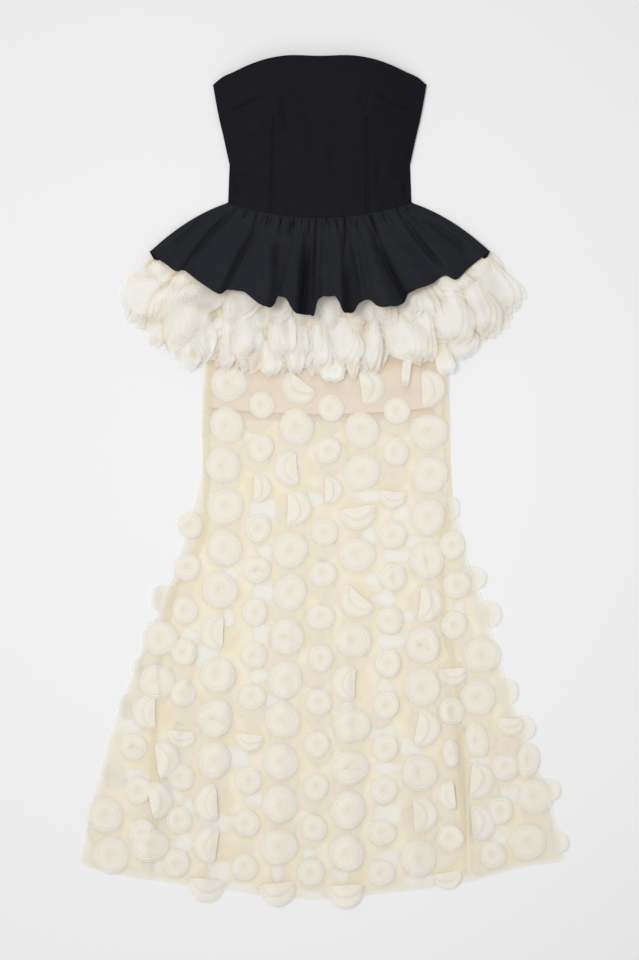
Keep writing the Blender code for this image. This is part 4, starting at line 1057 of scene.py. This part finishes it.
def petal_form(width, length, lift, bend, sharp, wave, turn, fan):
    """A petal about its root, pointing along +Y: a folded round that is cupped, pleated from its root, bent to a
    side and turned up a little at its rim."""
    s, t = np.meshgrid(np.linspace(0, 1, PETAL_ROWS), np.linspace(-1, 1, PETAL_COLUMNS), indexing="ij")
    t = np.sign(t) * np.abs(t) ** 0.85
    wide = np.where(s > PETAL_WAIST, 1 - 0.88 * np.abs((s - PETAL_WAIST) / (1 - PETAL_WAIST)) ** 2.3, 1.0)
    outline = np.clip(wide, 0, 1) ** 0.5 * (0.62 + 0.38 * blend(0.0, PETAL_WAIST, s)) * (1 - 0.75 * sharp * s**2)
    ripple = wave * np.sin(2.8 * s * np.pi + turn + 1.2 * t) * np.abs(t) ** 3
    x = 0.5 * width * outline * (t + 0.17 * ripple) + bend * length * s**2
    y = length * (s + 0.055 * wave * np.sin(3.4 * t + turn) * s**2)
    along_it = blend(0.0, 0.35, s) * (1 - 0.75 * blend(0.70, 1.0, s))
    cup = (1 - np.abs(t) ** 2.4) * along_it
    pleats = 0.10 * np.cos(1.5 * np.pi * t + turn + 1.8 * s) * (1 - 0.5 * s) * (1 - np.abs(t) ** 4)
    lean = 0.46 * fan * t * blend(0.05, 0.45, s) * (1 - 0.4 * blend(0.8, 1.0, s))
    z = lift * (0.20 * cup + np.maximum(1.3 * lean, -0.2) + pleats + 0.16 * ripple * s)
    creases = np.abs(np.sin(2.2 * t + 2.0 * s + turn)) + 0.6 * np.abs(np.sin(1.9 * t - 3.2 * s + 1.7 * turn))
    z = z + 0.0009 * (creases - 1.0) * blend(0.10, 0.45, s) + 0.0005 * blend(0.72, 1.0, np.maximum(np.abs(t), s))
    rim = blend(0.80, 0.95, np.maximum(np.abs(t), s))
    # Its shade value, a little painted shade, is most at the root
    return x, y, z, stacked(0.5 * (1 - s), rim, 0 * s)


def bridged(height):
    """The height of stiff cloth that lies on a grid of heights and bridges its hollows."""
    lying = height
    for _ in range(5):
        lying = np.maximum(lying, height)
        wide = np.pad(lying, 1, mode="edge")
        lying = (wide[:-2, 1:-1] + wide[2:, 1:-1] + wide[1:-1, :-2] + wide[1:-1, 2:] + 2 * lying) / 6
    return lying + 0.6 * np.maximum(height - lying, 0).max()


def lay_petal(root, tip, width, lift, folds=2, bend=0.0, sharp=0.0, wave=0.5, fan=1):
    """Lays a petal of nested folds on the pile, from its root to its tip in metres. Fan is the side they open to."""
    (x0, y0), (x1, y1) = root, tip
    heading = math.atan2(x0 - x1, y1 - y0)
    lift = PETAL_LIFT * lift
    length = math.hypot(x1 - x0, y1 - y0)
    turn = random.uniform(0, 6.28)
    made = []
    for k in range(folds):
        x, y, z, values = petal_form(width * (1 - 0.16 * k), length * (1 - 0.085 * k), lift * (1 - 0.05 * k), bend,
                                     sharp, wave, turn, fan)
        angle = heading + fan * 0.08 * k
        c, s = math.cos(angle), math.sin(angle)
        at_x, at_y = x0 + c * x - s * y, y0 + s * x + c * y
        base = bridged(PILE.at(at_x, at_y))
        height = 0.0006 + z + (0.0010 + 0.10 * lift) * k
        room = np.maximum(CEILING[PILE.cells(at_x, at_y)] - base, LEAST_ROOM)
        height = base + room * (1 - np.exp(-np.maximum(height, LEAST_HEIGHT) / room))
        made.append((stacked(at_x, at_y, height), values))
    for p, values in made:
        PETALS.append((p, grid_faces(PETAL_ROWS, PETAL_COLUMNS), values))
    top = np.concatenate([p.reshape(-1, 3) for p, _ in made])
    PILE.add(top[:, 0], top[:, 1], top[:, 2] - 0.35 * lift)


def lay_ring(count, seam, tips, half_angle, width, lift, drop, jitter):
    """Petals fanned out from a seam to their tips, each an ellipse (centre y, radius x, radius y)."""
    places = np.linspace(-1, 1, count)
    for k in np.argsort(-np.abs(places), kind="stable"):
        u = places[k] + jitter * random.normal() / count
        angle = math.radians(half_angle) * u
        lean = angle + 0.14 * random.normal()
        root = (BODICE_CENTRE_X + seam[1] * math.sin(0.9 * angle), seam[0] - seam[2] * math.cos(0.9 * angle))
        far = 1 - drop * random.random()
        tip = (BODICE_CENTRE_X + tips[1] * math.sin(0.5 * (angle + lean)) * far,
               tips[0] - tips[2] * math.cos(0.5 * (angle + lean)) * far)
        lay_petal(root, tip, width * random.uniform(0.75, 1.25), lift * random.uniform(0.7, 1.25),
                  bend=0.10 * random.normal(), sharp=random.uniform(0, 0.5), wave=random.uniform(0.3, 1.0),
                  fan=random.choice((-1, 1)))


# The petals that stand out: root, tip and width in pixels, lift in metres, nested folds, bend and curl

PLACED_PETALS = table("x0 y0 x1 y1 width lift folds bend sharp", """
    160,288,122,306,46,0.01,2,0.05,0 168,300,150,345,26,0.008,2,-0.05,0.3 184,318,180,360,26,0.008,2,0,0
    198,325,191,371,24,0.008,2,0.1,0 181,282,147,322,26,0.012,2,-0.05,0.6 180,262,152,280,28,0.01,2,0.1,0
    186,276,193,348,52,0.016,4,0.1,0 206,315,204,363,26,0.01,3,0,0.3 228,322,228,372,15,0.009,2,0.05,0
    218,285,214,322,13,0.009,2,0,0.2 246,312,250,358,34,0.012,3,0.05,0 232,282,234,324,24,0.012,2,0,0
    292,335,300,373,22,0.007,2,0.1,0.3 270,340,271,376,24,0.008,2,0,0 300,310,301,359,13,0.01,2,0,0
    284,306,283,361,29,0.016,3,0.03,0 262,300,262,334,26,0.011,2,0,0 478,262,515,308,36,0.01,2,0.05,0
    455,262,492,270,26,0.01,2,-0.1,0 470,285,498,334,34,0.012,3,0.08,0.2 452,325,470,355,32,0.009,2,0,0
    440,345,448,374,20,0.008,2,0,0 320,325,324,368,19,0.01,2,0,0 333,360,333,382,26,0.006,2,0,0
    345,318,346,369,36,0.014,3,-0.03,0.2 352,345,354,379,14,0.008,2,0,0.3 374,318,377,374,16,0.012,2,0.03,0.2
    328,292,330,330,18,0.01,2,0.1,0 352,306,361,334,15,0.008,2,0.1,0 410,350,401,385,10,0.008,1,-0.12,0.2
    392,318,416,363,44,0.014,3,-0.1,0.3 384,302,392,327,22,0.01,2,0.05,0 420,308,430,361,24,0.014,2,0.04,0
    428,276,410,320,18,0.011,2,-0.05,0.2 446,290,462,347,38,0.014,3,0,0
""")

# Where the petals part, with painted warm shade in the hollow, in pixels (centre and half sizes)

HOLLOWS = table("px py across up", """
    258,359,8,7 306,326,3,7 362,324,7,9 444,351,8,10 214,312,3,6 283,300,5,5 392,342,4,6 192,356,5,4
""")
SLIP_HOLLOWS = table("px py across up", "390,361,9,9 422,364,7,7 342,368,9,6 208,362,5,10")
PILE = Pile()
PETALS = []
CEILING = peplum_underside()
lay_ring(28, (0.372, 0.235, 0.060), (0.310, 0.346, 0.126), 110, 0.062, 0.008, 0.05, 0.5)
lay_ring(24, (0.380, 0.220, 0.050), (0.316, 0.328, 0.114), 108, 0.058, 0.009, 0.08, 0.6)
lay_ring(20, (0.388, 0.205, 0.045), (0.324, 0.306, 0.102), 106, 0.056, 0.010, 0.10, 0.7)


def from_waist(petal):
    """How far out a petal's root is, so that the outer ones are laid first and the inner ones cover their roots."""
    x, y = place(petal.x0, petal.y0)
    return math.hypot(x / 1.6, y - 0.40)


for petal in sorted(PLACED_PETALS, key=from_waist, reverse=True):
    lay_petal(place(petal.x0, petal.y0), place(petal.x1, petal.y1), petal.width * PIXEL, petal.lift, int(petal.folds),
              petal.bend, sharp=petal.sharp, fan=1 if petal.x1 < ORIGIN_PX[0] else -1)
lay_ring(24, (0.400, 0.190, 0.045), (0.338, 0.276, 0.072), 104, 0.046, 0.009, 0.12, 0.7)
points, faces, values = joined(PETALS)
PILE.top = PILE.top * 0
PILE.add(points[:, 0], points[:, 1], points[:, 2])
# Painted shade: the deeper a petal lies below the top of the pile, the deeper its colour, and more in the hollows and
# just below the peplum's hem
depth = PILE.at(points[:, 0], points[:, 1]) - points[:, 2]
px, py = pixel(points[:, 0], points[:, 1])
values[:, 0] = 0.15 * values[:, 0] + blend(SHADED_FROM, SHADED_TO, depth)
for hollow in HOLLOWS:
    values[:, 0] += HOLLOW_SHADE * bell(from_middle(px, py, hollow), 1) * blend(0.0, 0.004, depth + 0.001)
below_hem = (py - along(PEPLUM_HEM, "px", "py", px)) * PIXEL
values[:, 0] += HEM_SHADE * bell(below_hem, HEM_SHADE_REACH)
RUFFLE = organza_object("ruffle_petals", (points, faces, values), PETAL_CLOTH)
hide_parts("ruffle_front_lower", "ruffle_front_upper")

# The slip's front gets painted shadow close below the petals, and most where they part
at = points_of(SLIP_FRONT)
px, py = pixel(at[:, 0], at[:, 1])
shade = np.zeros(len(at))
for below in np.linspace(0.0, SLIP_SHADE_REACH, 13):
    near = PILE.top[PILE.cells(at[:, 0], at[:, 1] + below)] > 0
    shade = np.maximum(shade, near * SLIP_SHADE * (1 - below / (SLIP_SHADE_REACH + 0.001)))
for hollow in SLIP_HOLLOWS:
    shade = shade + SLIP_HOLLOW_SHADE * bell(from_middle(px, py, hollow), 1)
add_shade(SLIP_FRONT, shade)


def tier_band(name, seam_x, seam_y, seam_drop, tip_x, tip_y, tip_radius, half_angle, level):
    """A flat band of organza that a tier's petals are sewn to."""
    u, v = np.meshgrid(np.linspace(-1, 1, BAND_GRID[1]), np.linspace(0, 1, BAND_GRID[0]))
    angle = math.radians(half_angle) * u
    sx, sy = BODICE_CENTRE_X + seam_x * np.sin(0.5 * np.pi * u), seam_y - seam_drop * np.cos(0.5 * np.pi * u)
    tx, ty = BODICE_CENTRE_X + tip_x * np.sin(angle), tip_y - tip_radius * np.cos(angle)
    x, y = sx + (tx - sx) * v, sy + (ty - sy) * v
    z = level(x, y) + 0.0005 + 0.0006 * (1 + np.sin(40 * u)) * v
    obj = mesh_object(name, stacked(x, y, z), grid_faces(*BAND_GRID), PETAL_CLOTH, "cream_organza")
    # The band takes painted shade all over, as it lies beneath other cloth
    add_shade(obj, np.full(u.size, 0.9))
    return obj


# Discs of the skirt back that stand out past its sides, each tilted up outwards

EDGE_DISCS = table("px py", """
    163,598 146,668 131,706 114,776 446,508 472,578 488,614 505,692 522,728 546,790 554,842
""")
EDGE_DISC_CLOTH = organza("edge_disc_organza", (0.88, 0.80, 0.62), (0.93, 0.915, 0.84), 0.66, 0.40)


def edge_disc(px, py):
    """A disc that lies on the table under the skirt's side and rises out past it."""
    middle = place(px, py)[0]

    def level(x, y):
        return lying_height(y) + 0.0006 + 0.0070 * blend(0, 1, np.sign(middle) * (x - middle) / SMALL_DISC_RADIUS)

    return disc_parts([(SMALL_DISC_RADIUS, [(px, py, "o")])], ONE_LAYER, level)


OUTER_DISCS = organza_object("skirt_edge_discs", joined([edge_disc(*row) for row in EDGE_DISCS]), EDGE_DISC_CLOTH)

BAND = tier_band("ruffle_band", 0.210, 0.385, 0.045, 0.290, 0.325, 0.090, 100, pile_height)
BACK_RUFFLE = tier_band("ruffle_back_cloth", 0.225, 0.396, 0.030, 0.322, 0.318, 0.112, 100,
                        lambda x, y: 0.0004 + 0 * x)
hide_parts("ruffle_back")


# Cloth that was cut flat: each piece's own measured area stands for its cut, as none of it stretches

def declare(obj, width, length, closed=False):
    """Works out a sheet's flat size from its measured area, at most its width by its length, and keeps it nowhere. A
    closed shell has its cloth on both of its faces, so half of it counts.
    """
    area = sum(p.area for p in obj.data.polygons) / (2 if closed else 1)
    area = min(area, width * length)


# Stage, light and camera

WORLD_LIGHT, KEY_LIGHT, OVERHEAD_LIGHT = 0.47, 392.0, 1000.0
FLOOR_REACH, FLOOR_Z = 12.0, -0.0004
CAMERA_HEIGHT = 14.0
PICTURE_HEIGHT_PX, PICTURE_CENTRE_PX = 960, (319.5, 480.0)


def put_in_scene(name, data, where):
    obj = bpy.data.objects.new(name, data)
    obj.location = where
    bpy.context.scene.collection.objects.link(obj)
    return obj


def make_stage():
    """A white floor under an even sky, a large soft light at the upper left and a spot straight above."""
    r, z = FLOOR_REACH, FLOOR_Z
    floor = bpy.data.meshes.new("floor")
    floor.from_pydata([(-r, -r, z), (r, -r, z), (r, r, z), (-r, r, z)], [], [(0, 1, 2, 3)])
    white = Look("floor_white")
    white.put(white.shader, {"Base Color": (0.83, 0.83, 0.838, 1), "Roughness": 0.9, "Specular IOR Level": 0.1})
    floor.materials.append(white.material)
    put_in_scene("floor", floor, (0, 0, 0))
    world = bpy.data.worlds.new("studio")
    world.use_nodes = True
    white.put(world.node_tree.nodes["Background"], {"Color": (1.0, 1.0, 1.0, 1), "Strength": WORLD_LIGHT})
    bpy.context.scene.world = world
    key = bpy.data.lights.new("key", "AREA")
    key.shape, key.size, key.energy = "DISK", 3.6, KEY_LIGHT
    obj = put_in_scene("key", key, (-3.9, 1.7, 9.0))
    obj.rotation_euler = (-obj.location).to_track_quat("-Z", "Y").to_euler()
    spot = bpy.data.lights.new("overhead", "SPOT")
    spot.energy, spot.spot_size, spot.spot_blend, spot.shadow_soft_size = OVERHEAD_LIGHT, math.radians(23), 1.0, 1.2
    put_in_scene("overhead", spot, (0, 0, 9.0))


def make_camera():
    """Straight above the gown, far enough off for the raised cloth to keep its place."""
    camera = bpy.data.cameras.new("camera")
    camera.sensor_fit = "VERTICAL"
    camera.sensor_height = 24.0
    camera.lens = camera.sensor_height * CAMERA_HEIGHT / (PICTURE_HEIGHT_PX * PIXEL)
    camera.clip_end = 100.0
    bpy.context.scene.camera = put_in_scene("camera", camera, (*place(*PICTURE_CENTRE_PX), CAMERA_HEIGHT))


make_stage()
make_camera()
bpy.context.scene.view_settings.view_transform = "Standard"

declare(BODICE, 0.40, 0.31, True)
for side in ("left", "right"):
    declare(HIDDEN["bodice_back_" + side], 0.20, 0.24, True)
declare(PEPLUM, 0.75, 0.26, True)
for side in ("left", "right"):
    declare(HIDDEN["peplum_back_" + side], 0.32, 0.16, True)
declare(HIDDEN["zip_tape"], 0.024, 0.205, True)
declare(SKIRT_FRONT, 0.88, 1.24)
declare(SKIRT_BACK, 0.88, 1.24)
declare(SLIP_FRONT, 0.42, 0.37)
declare(SLIP_BACK, 0.42, 0.37)
declare(BAND, 0.95, 0.16)
declare(BACK_RUFFLE, 0.98, 0.16)
